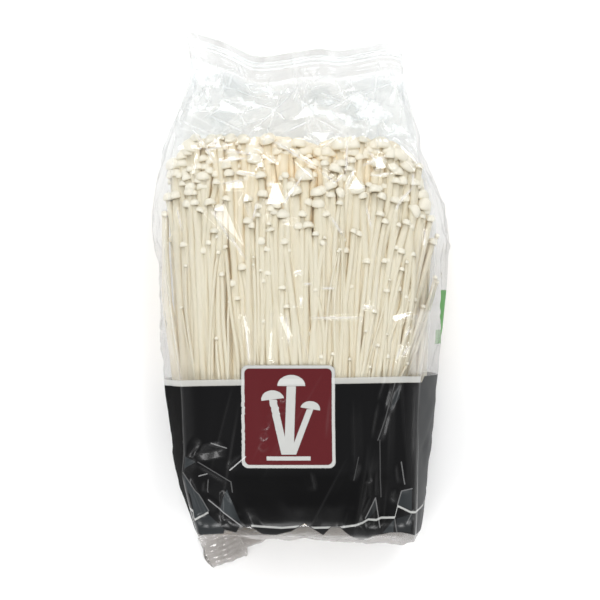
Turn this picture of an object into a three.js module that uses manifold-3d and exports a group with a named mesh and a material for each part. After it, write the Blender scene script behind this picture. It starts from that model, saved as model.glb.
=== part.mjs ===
// A bunch of enoki mushrooms, sealed in a clear side-gusset bag and lying on its back.
// Millimetres. +X runs across the bag, +Y from the cut base to the caps, +Z up from the surface it lies on.
// The origin is at the centre of the bag's outline, on that surface.
//
// Two pieces: the bunch, which grew as one body from a common base, and the bag, which is one tube of
// film welded flat at both ends. The film is drawn thicker than life, so that it is a real solid.
import * as THREE from "three";
import { mergeVertices } from "three/addons/utils/BufferGeometryUtils.js";
import Module from "manifold-3d";

// ---- Driving dimensions: the bunch
const BASE_END = -86; // the cut face of the base
const BASE_TOP = -66; // where the base lets the stems go
const BASE_HALF_WIDTH = 42;
const BASE_HALF_DEPTH = 18;
const BUNCH_HEIGHT = 22.7; // of the bunch's middle above the surface
const ROOT_Y = -76; // stems start this deep in the base
const ROOT_HALF_WIDTH = 40;
const ROOT_HALF_DEPTH = 16;
const CROWN_Y = 63; // the highest stem tips
const SHOULDER_Y = 40; // where the bunch starts to round off towards the crown
const CROWN_HALF_WIDTH = 49;
const CROWN_HALF_DEPTH = 18.4;
const SQUARENESS = 2.6; // exponent of the bunch's rounded outline: 2 is an ellipse
const CORE_SHARE = 0.68; // the hidden core's size, as a share of the bunch
const CORE_TOP = 28;

const BODY_COUNT = 58; // full-grown mushrooms through the whole bunch
const BODY_REACH = 0.9; // the share of the outline that they fill
const YOUNG_COUNT = 30; // short young ones round the sides and the back
const YOUNG_LOW = -34; // stem tips of the shortest and the tallest of them
const YOUNG_HIGH = 40;
const SEED = 41;
const MUSHROOM_SIDES = 5;
const SLIVER = 0.01; // edges shorter than this are closed up once all is joined
const EASING_ROUNDS = 24; // how often crowded mushrooms are eased apart

// The front row, which lies uppermost: each one's tip in x and y, and its cap's radius.
const FRONT_OVERHANG = 2.8; // how far its caps may stand out of the bunch's outline
const FRONT_ROW = [
  [-40, 55, 3.5], [-46.5, 49, 3.1], [-35, 45, 2.7], [-40, 39, 2.4], [-49, 31, 1.9],
  [-28, 58.5, 3], [-20.5, 59, 3], [-25.5, 46.5, 2.4], [-16.5, 52.5, 2.9], [-14, 44.5, 2.6],
  [-10.5, 59, 3.8], [2, 46.5, 3], [-2.5, 39, 2.9], [6.5, 40, 2.9], [7, 33.5, 3],
  [-6, 30.5, 2.8], [3, 27, 2.2], [-10.5, 26, 2], [-15, 21, 2], [-5.5, 21.5, 1.9],
  [8, 21, 1.5], [-11.5, 10, 1.7], [-6.5, 4, 1.5], [5.5, 4, 1.3], [-31, 24.5, 1.9],
  [-26.5, 16.5, 1.4], [-43, 2, 1.2], [-29, -4, 1.2], [1.5, -7.5, 1.2], [-13.5, -19.5, 1.1],
  [16.5, 56.5, 4], [15, 48, 4.2], [29.5, 57.5, 4.5], [24.5, 50, 3.3], [38, 50.5, 3.8],
  [34.5, 43, 2.2], [35.5, 35.5, 2.4], [12.5, 39, 2.6], [28.5, 32, 1.9], [44, 34.5, 2.8],
  [39, 28, 1.9], [19.5, 25.5, 1.3], [36.5, 18, 1.7], [48, 21.5, 1.8], [24, 14.5, 1.2],
  [31, 4, 1.4], [40.5, -3, 1.3], [23, -11.5, 1.2], [33, -21, 1.1], [7.5, -23, 1.1],
];

// ---- Driving dimensions: the bag
const FILM = 0.8; // wall of the bag as drawn
const WELD = 1.4; // thickness of a welded end
const PANEL_POINTS = 8; // points along the front and along the back panel
const SIDE_POINTS = 6; // points along a side panel
const VENT_RADIUS = 2.5; // a punched breathing hole in the back panel, near the caps
const VENT_AT = [24, 44];

const wasm = await Module();
wasm.setup();

// ---- Solids

/** A three.js geometry as a manifold-3d solid: positions only, shared vertices merged. */
function solidOf(geometry) {
  const bare = new THREE.BufferGeometry();
  bare.setAttribute("position", geometry.getAttribute("position"));
  bare.setIndex(geometry.index);
  const merged = mergeVertices(bare, 1e-4);
  const faces = [];
  const index = merged.index.array;
  for (let i = 0; i < index.length; i += 3) {
    const [a, b, c] = index.subarray(i, i + 3);
    if (a !== b && b !== c && c !== a) faces.push(a, b, c);
  }
  return new wasm.Manifold(
    new wasm.Mesh({
      numProp: 3,
      vertProperties: merged.attributes.position.array,
      triVerts: new Uint32Array(faces),
    }),
  );
}

/** The outer skin of a joined solid: sealed hollows are filled and loose scraps are dropped. */
function largestBody(solid) {
  return solid
    .decompose()
    .reduce((best, body) => (body.volume() > best.volume() ? body : best));
}

/** A manifold-3d solid as a named mesh. */
function meshOf(name, solid, material) {
  const { vertProperties, triVerts } = solid.getMesh();
  const geometry = new THREE.BufferGeometry();
  geometry.setAttribute("position", new THREE.BufferAttribute(vertProperties, 3));
  geometry.setIndex(new THREE.BufferAttribute(triVerts, 1));
  geometry.computeVertexNormals();
  const mesh = new THREE.Mesh(geometry, material);
  mesh.name = name;
  return mesh;
}

/** Closed rings of points, one after another, skinned into one closed surface with flat ends. */
function skinned(rings) {
  const count = rings[0].length;
  const middleOf = (ring) =>
    ring.reduce((sum, p) => sum.add(p), new THREE.Vector3()).divideScalar(count);
  const points = [...rings.flat(), middleOf(rings[0]), middleOf(rings.at(-1))];
  const [firstMiddle, lastMiddle] = [points.length - 2, points.length - 1];
  const last = (rings.length - 1) * count;
  const faces = [];
  for (let i = 0; i < count; i++) {
    const next = (i + 1) % count;
    for (let row = 0; row < last; row += count) {
      const [a, b] = [row + i, row + next];
      faces.push(a, b, b + count, a, b + count, a + count);
    }
    faces.push(firstMiddle, next, i, lastMiddle, last + i, last + next);
  }
  const geometry = new THREE.BufferGeometry().setFromPoints(points);
  geometry.setIndex(faces);
  return geometry;
}

// ---- The bunch

/** Numbers from 0 to 1, the same on every run. */
function seeded(seed) {
  let state = seed >>> 0;
  return () => {
    state = (Math.imul(state, 1664525) + 1013904223) >>> 0;
    return state / 4294967296;
  };
}

/** A point of the bunch's rounded outline, for half-sizes of 1. */
function outline(angle) {
  const bend = (v) => Math.sign(v) * Math.abs(v) ** (2 / SQUARENESS);
  return [bend(Math.cos(angle)), bend(Math.sin(angle))];
}

/** How far up a stem a height y is: 0 at the root, 1 at the crown. */
function riseOf(y) {
  return (y - ROOT_Y) / (CROWN_Y - ROOT_Y);
}

/** The bunch's half-width and half-depth at a height y. */
function halfSizes(y) {
  const rise = riseOf(y);
  return [
    ROOT_HALF_WIDTH + (CROWN_HALF_WIDTH - ROOT_HALF_WIDTH) * rise,
    ROOT_HALF_DEPTH + (CROWN_HALF_DEPTH - ROOT_HALF_DEPTH) * rise,
  ];
}

/** A stem's radius from its cap's: a small cap has a stouter stem for its size. */
function stemOf(cap) {
  return 0.42 * cap + 0.35;
}

/** A mushroom of the front row, which lies on the outline and gives way to no other. */
function frontal([x, y, cap], random) {
  const [halfWidth, halfDepth] = halfSizes(y);
  const across = Math.min(Math.abs(x / (halfWidth + FRONT_OVERHANG)), 0.99);
  const front = (1 - across ** SQUARENESS) ** (1 / SQUARENESS);
  const rounding = 0.2 * Math.max(y - SHOULDER_Y, 0);
  const tip = [x, y, (halfDepth + FRONT_OVERHANG - cap) * front - rounding];
  const u = 0.96 * (x / halfWidth) + 0.05 * (random() - 0.5);
  const bow = [2 * (random() - 0.5), 0.4];
  return { u, w: 0.97 * front, tip, cap, stem: stemOf(cap), bow, inner: false, fixed: true };
}

/** A full-grown mushroom: they fill the outline evenly along a sunflower's spiral. */
function fullGrown(i, random) {
  const share = BODY_REACH * Math.sqrt((i + 0.5) / BODY_COUNT);
  const [px, pz] = outline(i * Math.PI * (3 - Math.sqrt(5)));
  const [u, w] = [share * px, share * pz];
  const droop = 34 * random() ** 1.8;
  const cap = 4.9 - 0.06 * droop - 1.4 * random() ** 1.5;
  const tip = [
    CROWN_HALF_WIDTH * u + 2.4 * (random() - 0.5),
    CROWN_Y - droop - 5 * u * u - 7 * w * w,
    CROWN_HALF_DEPTH * w + 1.2 * (random() - 0.5),
  ];
  const bow = [3 * (random() - 0.5), 1.5 * (random() - 0.5)];
  return { u, w, tip, cap, stem: stemOf(cap), bow, inner: share < CORE_SHARE };
}

/** A short young mushroom, on the outline round the sides and the back. */
function young(i, random) {
  const [u, w] = outline(-Math.PI * (0.05 + (0.9 * (i + 0.6 * random())) / YOUNG_COUNT));
  const grown = random() ** 1.2;
  const cap = 1.25 + 1.5 * grown + 0.5 * random();
  const y = YOUNG_LOW + (YOUNG_HIGH - YOUNG_LOW) * grown;
  const [halfWidth, halfDepth] = halfSizes(y);
  const tip = [halfWidth * u + 2 * (random() - 0.5), y, halfDepth * w];
  const bow = [2 * (random() - 0.5), random() - 0.5];
  return { u, w, tip, cap, stem: stemOf(cap), bow, inner: false };
}

/** How far apart two mushrooms push: cap from cap, and a lower cap from the stem that passes it. */
function pushBetween(one, other) {
  const away = [0, 1, 2].map((k) => one.tip[k] - other.tip[k]);
  const gap = Math.hypot(away[0], 1.3 * away[1], away[2]);
  const wanted = 0.94 * (one.cap + other.cap);
  if (gap > 0 && gap < wanted) return away.map((d) => (0.25 * (wanted - gap) * d) / gap);
  if (away[1] > 0) return [0, 0, 0];
  const rise = (one.tip[1] - ROOT_Y) / (other.tip[1] - ROOT_Y);
  const dx = one.tip[0] - ROOT_HALF_WIDTH * other.u * (1 - rise) - other.tip[0] * rise;
  const dz = one.tip[2] - ROOT_HALF_DEPTH * other.w * (1 - rise) - other.tip[2] * rise;
  const side = Math.hypot(dx, dz);
  const room = 0.9 * one.cap + other.stem;
  if (side === 0 || side > room) return [0, 0, 0];
  return [(0.3 * (room - side) * dx) / side, 0, (0.3 * (room - side) * dz) / side];
}

/** Keeps a tip inside the crown's outline, which a cap may overhang a little. */
function heldIn([x, y, z], cap) {
  const halfWidth = CROWN_HALF_WIDTH + 4 - 0.42 * Math.max(y - SHOULDER_Y, 0);
  const wide = Math.abs(x / (halfWidth - cap)) ** SQUARENESS;
  const deep = Math.abs(z / (CROWN_HALF_DEPTH + 3.6 - cap)) ** SQUARENESS;
  const over = Math.max((wide + deep) ** (1 / SQUARENESS), 1);
  return [x / over, Math.min(y, CROWN_Y), z / over];
}

/** Eases crowded mushrooms apart, all at once in each round. */
function easeApart(mushrooms) {
  for (let round = 0; round < EASING_ROUNDS; round++) {
    const pushes = mushrooms.map((one) =>
      mushrooms.reduce((sum, other) => {
        const push = pushBetween(one, other);
        return sum.map((v, k) => v + push[k]);
      }, [0, 0, 0]),
    );
    mushrooms.forEach((one, i) => {
      if (one.fixed) return;
      one.tip = heldIn(one.tip.map((v, k) => v + pushes[i][k]), one.cap);
    });
  }
}

/** Every mushroom of the bunch: where its root and tip are, and how thick its stem and cap. */
function planted() {
  const random = seeded(SEED);
  const all = FRONT_ROW.map((place) => frontal(place, random));
  for (let i = 0; i < BODY_COUNT; i++) all.push(fullGrown(i, random));
  for (let i = 0; i < YOUNG_COUNT; i++) all.push(young(i, random));
  easeApart(all);
  return all;
}

/** One mushroom: a turned profile of stem and cap, bent along its own curve from root to tip. */
function mushroom({ u, w, tip, cap, stem, bow, inner }) {
  const root = new THREE.Vector3(ROOT_HALF_WIDTH * u, ROOT_Y, ROOT_HALF_DEPTH * w);
  const top = new THREE.Vector3(...tip);
  const middle = root.clone().lerp(top, 0.55);
  middle.x += bow[0];
  middle.z += bow[1];
  const curve = new THREE.QuadraticBezierCurve3(root, middle, top);
  const start = inner ? 0.6 : 0;
  const profile = [
    [0, start],
    [stem, start],
    [stem, inner ? 0.8 : 0.5],
    [0.85 * stem, 1],
    [cap, 1, 0.02],
    [0.8 * cap, 1, 0.5],
    [0, 1, 0.8],
  ];
  const turned = new THREE.LatheGeometry(
    profile.map(([radius], row) => new THREE.Vector2(radius, row)),
    MUSHROOM_SIDES,
  );
  const at = turned.getAttribute("position");
  const point = new THREE.Vector3();
  const lean = new THREE.Quaternion();
  for (let i = 0; i < at.count; i++) {
    const [, along, beyond = 0] = profile[Math.round(at.getY(i))];
    const tangent = curve.getTangent(along);
    lean.setFromUnitVectors(THREE.Object3D.DEFAULT_UP, tangent);
    point.set(at.getX(i), beyond * cap, at.getZ(i)).applyQuaternion(lean);
    point.add(curve.getPoint(along));
    at.setXYZ(i, point.x, point.y, point.z);
  }
  return solidOf(turned);
}

/** A rounded slab round the bunch's middle: stations of [y, half-width, half-depth]. */
function slab(stations, points) {
  const rings = stations.map(([y, halfWidth, halfDepth]) =>
    Array.from({ length: points }, (_, i) => {
      const [u, w] = outline((2 * Math.PI * i) / points);
      return new THREE.Vector3(halfWidth * u, y, halfDepth * w);
    }),
  );
  return solidOf(skinned(rings.map((ring) => ring.reverse())));
}

/** The common base of all the stems, cut flat at its end and swelling to where the stems part. */
function base() {
  return slab(
    [
      [BASE_END, 0.93 * BASE_HALF_WIDTH, 0.9 * BASE_HALF_DEPTH],
      [BASE_END + 4, BASE_HALF_WIDTH, BASE_HALF_DEPTH],
      [BASE_TOP - 4, 0.98 * BASE_HALF_WIDTH, 0.97 * BASE_HALF_DEPTH],
      [BASE_TOP, 0.9 * BASE_HALF_WIDTH, 0.84 * BASE_HALF_DEPTH],
    ],
    24,
  );
}

/** The packed middle of the bunch, which the inner stems stand out of. */
function core() {
  return slab(
    [
      [ROOT_Y, CORE_SHARE * ROOT_HALF_WIDTH, CORE_SHARE * ROOT_HALF_DEPTH],
      [CORE_TOP - 10, CORE_SHARE * CROWN_HALF_WIDTH, CORE_SHARE * CROWN_HALF_DEPTH],
      [CORE_TOP, 0.8 * CORE_SHARE * CROWN_HALF_WIDTH, 0.7 * CORE_SHARE * CROWN_HALF_DEPTH],
    ],
    16,
  );
}

function bunch() {
  const joined = wasm.Manifold.union([base(), core(), ...planted().map(mushroom)]);
  return largestBody(joined).simplify(SLIVER).translate([0, 0, BUNCH_HEIGHT]);
}

// ---- The bag

// Stations along the bag, from the lower end to the upper weld: y, middle x, half-width between the
// long folds, how far a side stands out (+) or is tucked in (-), lowest and highest z, crown of the
// front panel, and how much of the upper edge's slant the station takes.
const STATIONS = [
  { y: -93, x: 0.4, half: 40, side: -1, low: 2.5, high: 14, crown: 0.4, slant: 0 },
  { y: -92, x: 0.5, half: 42.4, side: -0.8, low: 0.6, high: 26, crown: 0.6, slant: 0 },
  { y: -89.5, x: 0.6, half: 44.2, side: 0, low: 0, high: 36, crown: 0.8, slant: 0 },
  { y: -85, x: 0.6, half: 45.2, side: 0.8, low: 0, high: 40.6, crown: 1, slant: 0 },
  { y: -76, x: 0.5, half: 46.2, side: 1.8, low: 0, high: 42.4, crown: 1, slant: 0 },
  { y: -50, x: 0.2, half: 48.5, side: 3.8, low: 0, high: 43.6, crown: 1.4, slant: 0 },
  { y: -10, x: 0, half: 50.5, side: 4.6, low: 0, high: 44.6, crown: 1.8, slant: 0 },
  { y: 24, x: 0, half: 51.8, side: 4.8, low: 0, high: 45, crown: 2, slant: 0 },
  { y: 40, x: 0.2, half: 50, side: 4, low: 0, high: 45, crown: 2, slant: 0 },
  { y: 54, x: -1.6, half: 47, side: 2.8, low: 0, high: 44.4, crown: 2, slant: 0 },
  { y: 66, x: -2.3, half: 45.8, side: 1.8, low: 0.8, high: 41, crown: 1.5, slant: 0.1 },
  { y: 75, x: -2, half: 44, side: -0.6, low: 4, high: 29.5, crown: 0.9, slant: 0.35 },
  { y: 82, x: -1.6, half: 42.4, side: -2, low: 8.4, high: 17, crown: 0.4, slant: 0.35 },
  { y: 88.5, x: -1.8, half: 42, side: -0.4, low: 10.4, high: 10.4 + 2 * WELD, crown: 0, slant: 0.95 },
  { y: 99, x: -2.3, half: 41.8, side: 0, low: 11, high: 11 + WELD, crown: 0, slant: 1 },
];
const HOLLOW_TO = 12; // the last station that the hollow reaches

// The lower weld is tucked under the base, and only its left corner shows: its outline from above.
const LOWER_WELD = [
  [-38, -86],
  [-38.5, -93],
  [-34.5, -105.2],
  [-15, -97],
  [8, -89],
  [8, -86],
];
const LOWER_WELD_Z = 1;

/** How far the upper weld's edge runs ahead of its middle, with a fold dipping left of the middle. */
function slantAt(share) {
  return 4 * share ** 2 - 2 * share - 5 * Math.exp(-(((share + 0.36) / 0.3) ** 2));
}

/** One closed ring of the bag's outline, shrunk by inset: front, right side, back, left side. */
function bagRing({ y, x, half, side, low, high, crown, slant }, inset) {
  const ring = [];
  const add = (px, pz) => {
    ring.push(new THREE.Vector3(x + px, y + slant * slantAt(px / half), pz));
  };
  const width = half - inset;
  const [top, bottom] = [high - inset, low + inset];
  for (let i = 0; i < PANEL_POINTS; i++) {
    const t = i / PANEL_POINTS;
    add(width * (2 * t - 1), top + crown * Math.sin(Math.PI * t));
  }
  for (let i = 0; i < SIDE_POINTS; i++) {
    const t = i / SIDE_POINTS;
    add(width + side * Math.sin(Math.PI * t), top + (bottom - top) * t);
  }
  for (let i = 0; i < PANEL_POINTS; i++) {
    const t = i / PANEL_POINTS;
    add(width * (1 - 2 * t), bottom);
  }
  for (let i = 0; i < SIDE_POINTS; i++) {
    const t = i / SIDE_POINTS;
    add(-width - side * Math.sin(Math.PI * t), bottom + (top - bottom) * t);
  }
  return ring;
}

function lowerWeld() {
  const plan = new THREE.Shape(LOWER_WELD.map(([x, y]) => new THREE.Vector2(x, y)));
  const slab = new THREE.ExtrudeGeometry(plan, { depth: WELD, bevelEnabled: false });
  return solidOf(slab.translate(0, 0, LOWER_WELD_Z));
}

/** The space in the bag: the same stations, a film's thickness in. */
function hollow() {
  const stations = STATIONS.slice(0, HOLLOW_TO + 1);
  const rings = stations.map((station) => bagRing(station, FILM));
  for (const point of rings[0]) point.y += FILM;
  return solidOf(skinned(rings));
}

function bag() {
  const outer = solidOf(skinned(STATIONS.map((station) => bagRing(station, 0))));
  const punch = new THREE.CylinderGeometry(VENT_RADIUS, VENT_RADIUS, 6 * FILM, 16);
  punch.rotateX(Math.PI / 2).translate(...VENT_AT, 0);
  return outer.add(lowerWeld()).subtract(hollow()).subtract(solidOf(punch));
}

// ---- The two pieces

const mushroomFlesh = new THREE.MeshStandardMaterial({ color: 0xf2e8d2, roughness: 0.6, metalness: 0 });
const clearFilm = new THREE.MeshStandardMaterial({
  color: 0xf4f6f7,
  roughness: 0.12,
  metalness: 0,
  transparent: true,
  opacity: 0.25,
});

const pack = new THREE.Group();
pack.add(meshOf("enoki_bunch", bunch(), mushroomFlesh));
pack.add(meshOf("bag_film", bag(), clearFilm));

export default pack;
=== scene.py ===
# %% [markdown]
# # A bunch of enoki mushrooms in its bag
# Enoki are grown packed together in a jar, so they come as one bunch of hundreds of thin stems on one base.
# The bunch is sold in a tube of clear film with side gussets, printed at its foot and welded flat at both
# ends. It lies on its back here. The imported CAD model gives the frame: where the bunch is, and how far the
# film reaches. Everything below is worked out in millimetres and put into Blender in metres.

# %% Load the frame
import math

import bpy
import numpy as np
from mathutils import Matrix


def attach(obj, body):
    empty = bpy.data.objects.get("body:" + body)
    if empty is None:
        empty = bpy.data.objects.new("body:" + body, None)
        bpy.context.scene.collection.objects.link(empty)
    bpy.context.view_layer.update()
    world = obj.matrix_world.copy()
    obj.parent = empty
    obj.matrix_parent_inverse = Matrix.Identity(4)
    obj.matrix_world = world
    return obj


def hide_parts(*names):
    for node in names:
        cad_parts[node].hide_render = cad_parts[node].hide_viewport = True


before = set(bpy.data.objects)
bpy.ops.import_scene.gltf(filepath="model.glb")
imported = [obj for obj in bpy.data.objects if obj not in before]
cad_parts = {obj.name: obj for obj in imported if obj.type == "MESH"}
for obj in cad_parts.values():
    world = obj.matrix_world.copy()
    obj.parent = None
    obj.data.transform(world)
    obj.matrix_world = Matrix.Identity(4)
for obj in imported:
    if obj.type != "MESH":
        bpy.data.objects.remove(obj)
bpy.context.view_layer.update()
MM = 0.001

scene = bpy.context.scene

# %% [markdown]
# ## The camera and the light
# The pack lies on a table and the camera looks straight down on it from 0.6 m. Film is only as good as what
# it mirrors. A flat piece of film mirrors what is straight above it, so the top of the sky is dark, and the
# black print stays black. Creases tilt the film by 15 to 30 degrees, and so mirror what stands 30 to 60
# degrees off: long bright softboxes stand there, and every crease facet that faces one flashes white.

# %% Camera
CAMERA_HEIGHT = 600.0
VIEW_WIDTH = 231.0  # of what the camera sees at the pack's middle height
MIDDLE_HEIGHT = 22.0
SENSOR = 36.0
TOWARDS_CAPS = 0.4  # how far the camera stands off the middle

camera_data = bpy.data.cameras.new("camera")
camera_data.sensor_width = SENSOR
camera_data.lens = SENSOR * (CAMERA_HEIGHT - MIDDLE_HEIGHT) / VIEW_WIDTH
camera = bpy.data.objects.new("camera", camera_data)
camera.location = (0, TOWARDS_CAPS * MM, CAMERA_HEIGHT * MM)
scene.collection.objects.link(camera)
scene.camera = camera
print("lens", round(camera_data.lens, 1), "mm")

# %% [markdown]
# ## Sums with sockets
# A finish is worked out at each point by nodes. Many nodes linked by hand are hard to read, so one small
# class wraps a socket: its operators add the Math nodes, and a mask's formula is written like any other sum.

# %% Node sums
class Value:
    """A socket that takes part in Python sums: each operator adds one Math node."""

    def __init__(self, graph, socket):
        self.graph, self.socket = graph, socket

    def _math(self, operation, *others):
        return self.graph.add("ShaderNodeMath", dict(operation=operation), dict(enumerate([self, *others])))

    __add__ = __radd__ = lambda self, other: self._math("ADD", other)
    __sub__ = lambda self, other: self._math("SUBTRACT", other)
    __rsub__ = lambda self, other: (self * -1.0) + other
    __mul__ = __rmul__ = lambda self, other: self._math("MULTIPLY", other)
    __truediv__ = lambda self, other: self._math("DIVIDE", other)
    __pow__ = lambda self, other: self._math("POWER", other)
    least = lambda self, other: self._math("MINIMUM", other)
    most = lambda self, other: self._math("MAXIMUM", other)
    absolute = lambda self: self._math("ABSOLUTE")
    wrapped = lambda self, period: self._math("FLOORED_MODULO", period)

    def held(self):
        """Held between 0 and 1."""
        return self.least(1.0).most(0.0)

    def step(self, edge, soft):
        """0 below edge and 1 above it, rising straight over the width soft."""
        return ((self - edge) / soft + 0.5).held()

    def between(self, low, high, soft):
        """1 between two edges and 0 outside them."""
        return self.step(low, soft) * (1 - self.step(high, soft))


print("sums of sockets ready")

# %% [markdown]
# A second class holds the nodes of one material, and names the few kinds that the finishes below are made of.
# They are laid over one another in layers, as paint is.

# %% Node kinds
class Graph:
    """The nodes of one material or of the world."""

    def __init__(self, tree):
        self.tree = tree
        tree.nodes.clear()

    def add(self, kind, settings=None, inputs=None, output=0):
        """A node of this kind: its settings first, then values or links for its sockets."""
        node = self.tree.nodes.new(kind)
        for name, value in (settings or {}).items():
            setattr(node, name, value)
        for name, value in (inputs or {}).items():
            if isinstance(value, Value):
                self.tree.links.new(value.socket, node.inputs[name])
            else:
                node.inputs[name].default_value = value
        return Value(self, node.outputs[output]) if node.outputs else None

    def mix(self, factor, *colours):
        """Two colours mixed: factor 0 gives the first and 1 the second."""
        first, second = (c if isinstance(c, Value) else (*c, 1) for c in colours)
        return self.add("ShaderNodeMix", dict(data_type="RGBA"), {0: factor, 6: first, 7: second}, 2)

    def noise(self, vector, scale, detail=2.0, roughness=0.5):
        inputs = dict(Vector=vector, Scale=scale, Detail=detail, Roughness=roughness)
        return self.add("ShaderNodeTexNoise", None, inputs)

    def parts(self, vector):
        """The x, y and z of a vector."""
        node = self.tree.nodes.new("ShaderNodeSeparateXYZ")
        self.tree.links.new(vector.socket, node.inputs[0])
        return [Value(self, output) for output in node.outputs]

    def stretched(self, vector, scale):
        return self.add("ShaderNodeVectorMath", dict(operation="MULTIPLY"), {0: vector, 1: scale})

    def place(self):
        """The point in the piece's own coordinates, in metres."""
        return self.add("ShaderNodeTexCoord", None, None, 3)

    def surface_place(self):
        """The point's u and v on the piece's surface."""
        return self.parts(self.add("ShaderNodeUVMap", dict(uv_map="surface")))[:2]

    def measured(self, name):
        """The number that the mesh holds at the point under this name."""
        return self.add("ShaderNodeAttribute", dict(attribute_name=name), None, 2)

    def bump(self, height, strength, distance):
        return self.add("ShaderNodeBump", None, dict(Strength=strength, Distance=distance, Height=height))

    def paint(self, colour, roughness, **others):
        """A finish that hides what is behind it. An underscore in a socket's name stands for a space."""
        colour = colour if isinstance(colour, Value) else (*colour, 1)
        inputs = {name.replace("_", " "): value for name, value in others.items()}
        inputs.update({"Base Color": colour, "Roughness": roughness})
        return self.add("ShaderNodeBsdfPrincipled", None, inputs)

    def gloss(self, grey, roughness, **others):
        """A mirror, a little dimmed."""
        inputs = dict(Color=(*grey, 1), Roughness=roughness, **others)
        return self.add("ShaderNodeBsdfAnisotropic", None, inputs)

    def clear(self, *tint):
        """What is behind, seen through a faint tint."""
        return self.add("ShaderNodeBsdfTransparent", None, dict(Color=(*tint, 1)))

    def glancing(self, least):
        """How much of a clear film mirrors: least where it faces the eye, and more the flatter it is seen."""
        return least + 0.8 * self.add("ShaderNodeLayerWeight", None, dict(Blend=0.5), 1) ** 4.0

    def over(self, under, share, upper):
        """The upper finish over the one under it, where its share is 1, and mixed in where it is less."""
        return self.add("ShaderNodeMixShader", None, {0: share, 1: under, 2: upper})


def material(name):
    made = bpy.data.materials.new(name)
    made.use_nodes = True
    return made, Graph(made.node_tree)


def finish(made, graph, surface, *pieces):
    """The surface goes to the material's output, and the material onto the pieces."""
    graph.add("ShaderNodeOutputMaterial", None, dict(Surface=surface))
    for piece in pieces:
        piece.data.materials.append(made)


print("node kinds ready")

# %% [markdown]
# ## The sky
# All the light is in the sky. Its very top is dark, so that flat black print stays black. At 35 to 44
# degrees off the top stands a ring of softboxes, much brighter than the rest: a crease's facet that leans
# about 20 degrees, whichever way, mirrors one of them. Round that lies a plain bright surround that fills
# in the shadows between the stems. Low down beyond the caps stands a last bright panel: it lights the caps'
# tops, and it flashes in the film where that falls steeply to the upper weld.

# %% Sky
DARK_TOP, SURROUND, HORIZON = 0.2, 0.55, 0.9  # how bright the sky is at its top, round that and low down
SOFTBOX, SOFTBOX_COUNT = 13.0, 9
RING_INNER, RING_OUTER = math.radians(35), math.radians(44)
LAMP_FROM, LAMP_TO = 0.22, 0.78  # the share of each softbox's sector that is lit
LOW_PANEL = 2.5

world = bpy.data.worlds.new("studio")
scene.world = world
world.use_nodes = True
sky = Graph(world.node_tree)
to_right, to_caps, up = sky.parts(sky.add("ShaderNodeTexCoord"))
top = ((up - 0.93) / 0.05).held()
wide = ((up - 0.2) / 0.3).held()
plain = (HORIZON + (SURROUND - HORIZON) * wide) * (1 - top) + DARK_TOP * top
turn = sky.add("ShaderNodeMath", dict(operation="ARCTAN2"), {0: to_caps, 1: to_right})
lamp = (turn * (SOFTBOX_COUNT / (2 * math.pi))).wrapped(1.0)
lit = lamp.between(LAMP_FROM, LAMP_TO, 0.02) * up.between(math.cos(RING_OUTER), math.cos(RING_INNER), 0.01)
favour = 0.55 + 1.1 * to_caps * to_caps + 0.25 * to_caps - 0.1 * to_right
low_panel = up.between(0.12, 0.34, 0.02) * to_caps.step(0.72, 0.04)
light = plain + lit * favour * SOFTBOX + low_panel * LOW_PANEL
background = sky.add("ShaderNodeBackground", None, dict(Color=(1, 1, 1, 1), Strength=light))
sky.add("ShaderNodeOutputWorld", None, dict(Surface=background))
print("sky made")

# %% [markdown]
# The table is one large pale matte square. It isn't a part of the pack.

# %% Floor
FLOOR_HALF = 1500.0
floor_mesh = bpy.data.meshes.new("floor")
floor_corners = [(-1, -1), (1, -1), (1, 1), (-1, 1)]
floor_points = [(FLOOR_HALF * MM * x, FLOOR_HALF * MM * y, 0) for x, y in floor_corners]
floor_mesh.from_pydata(floor_points, [], [(0, 1, 2, 3)])
floor = bpy.data.objects.new("floor", floor_mesh)
scene.collection.objects.link(floor)
floor_material, g = material("pale_floor")
finish(floor_material, g, g.paint((0.92, 0.92, 0.92), 0.9), floor)
print("floor made")

# %% [markdown]
# ## Surfaces from arrays
# Every new surface here is a grid of points: rows along the piece and columns round it. One function turns
# such a grid, or many grids at once, into a mesh, closes its ends, and hands over whatever is measured at
# its points as a UV map or as attributes.

# %% Mesh helper
def grid_faces(rows, columns, around=True):
    """Corner indices of the quads between neighbouring rows and columns, the last column joined to the
    first where the grid goes around."""
    row = np.arange(rows - 1)[:, None]
    column = np.arange(columns if around else columns - 1)[None, :]
    nxt = (column + 1) % columns
    a, b = row * columns + column, row * columns + nxt
    return np.stack([a, b, b + columns, a + columns], -1).reshape(-1, 4)


def end_fans(rows, columns, first, last):
    """Triangles from two end points, first and last, to the first and the last ring."""
    column = np.arange(columns)
    nxt = (column + 1) % columns
    start = np.stack([np.full(columns, first), nxt, column], -1)
    end = (rows - 1) * columns
    finish = np.stack([np.full(columns, last), end + column, end + nxt], -1)
    return np.concatenate([start, finish])


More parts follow.
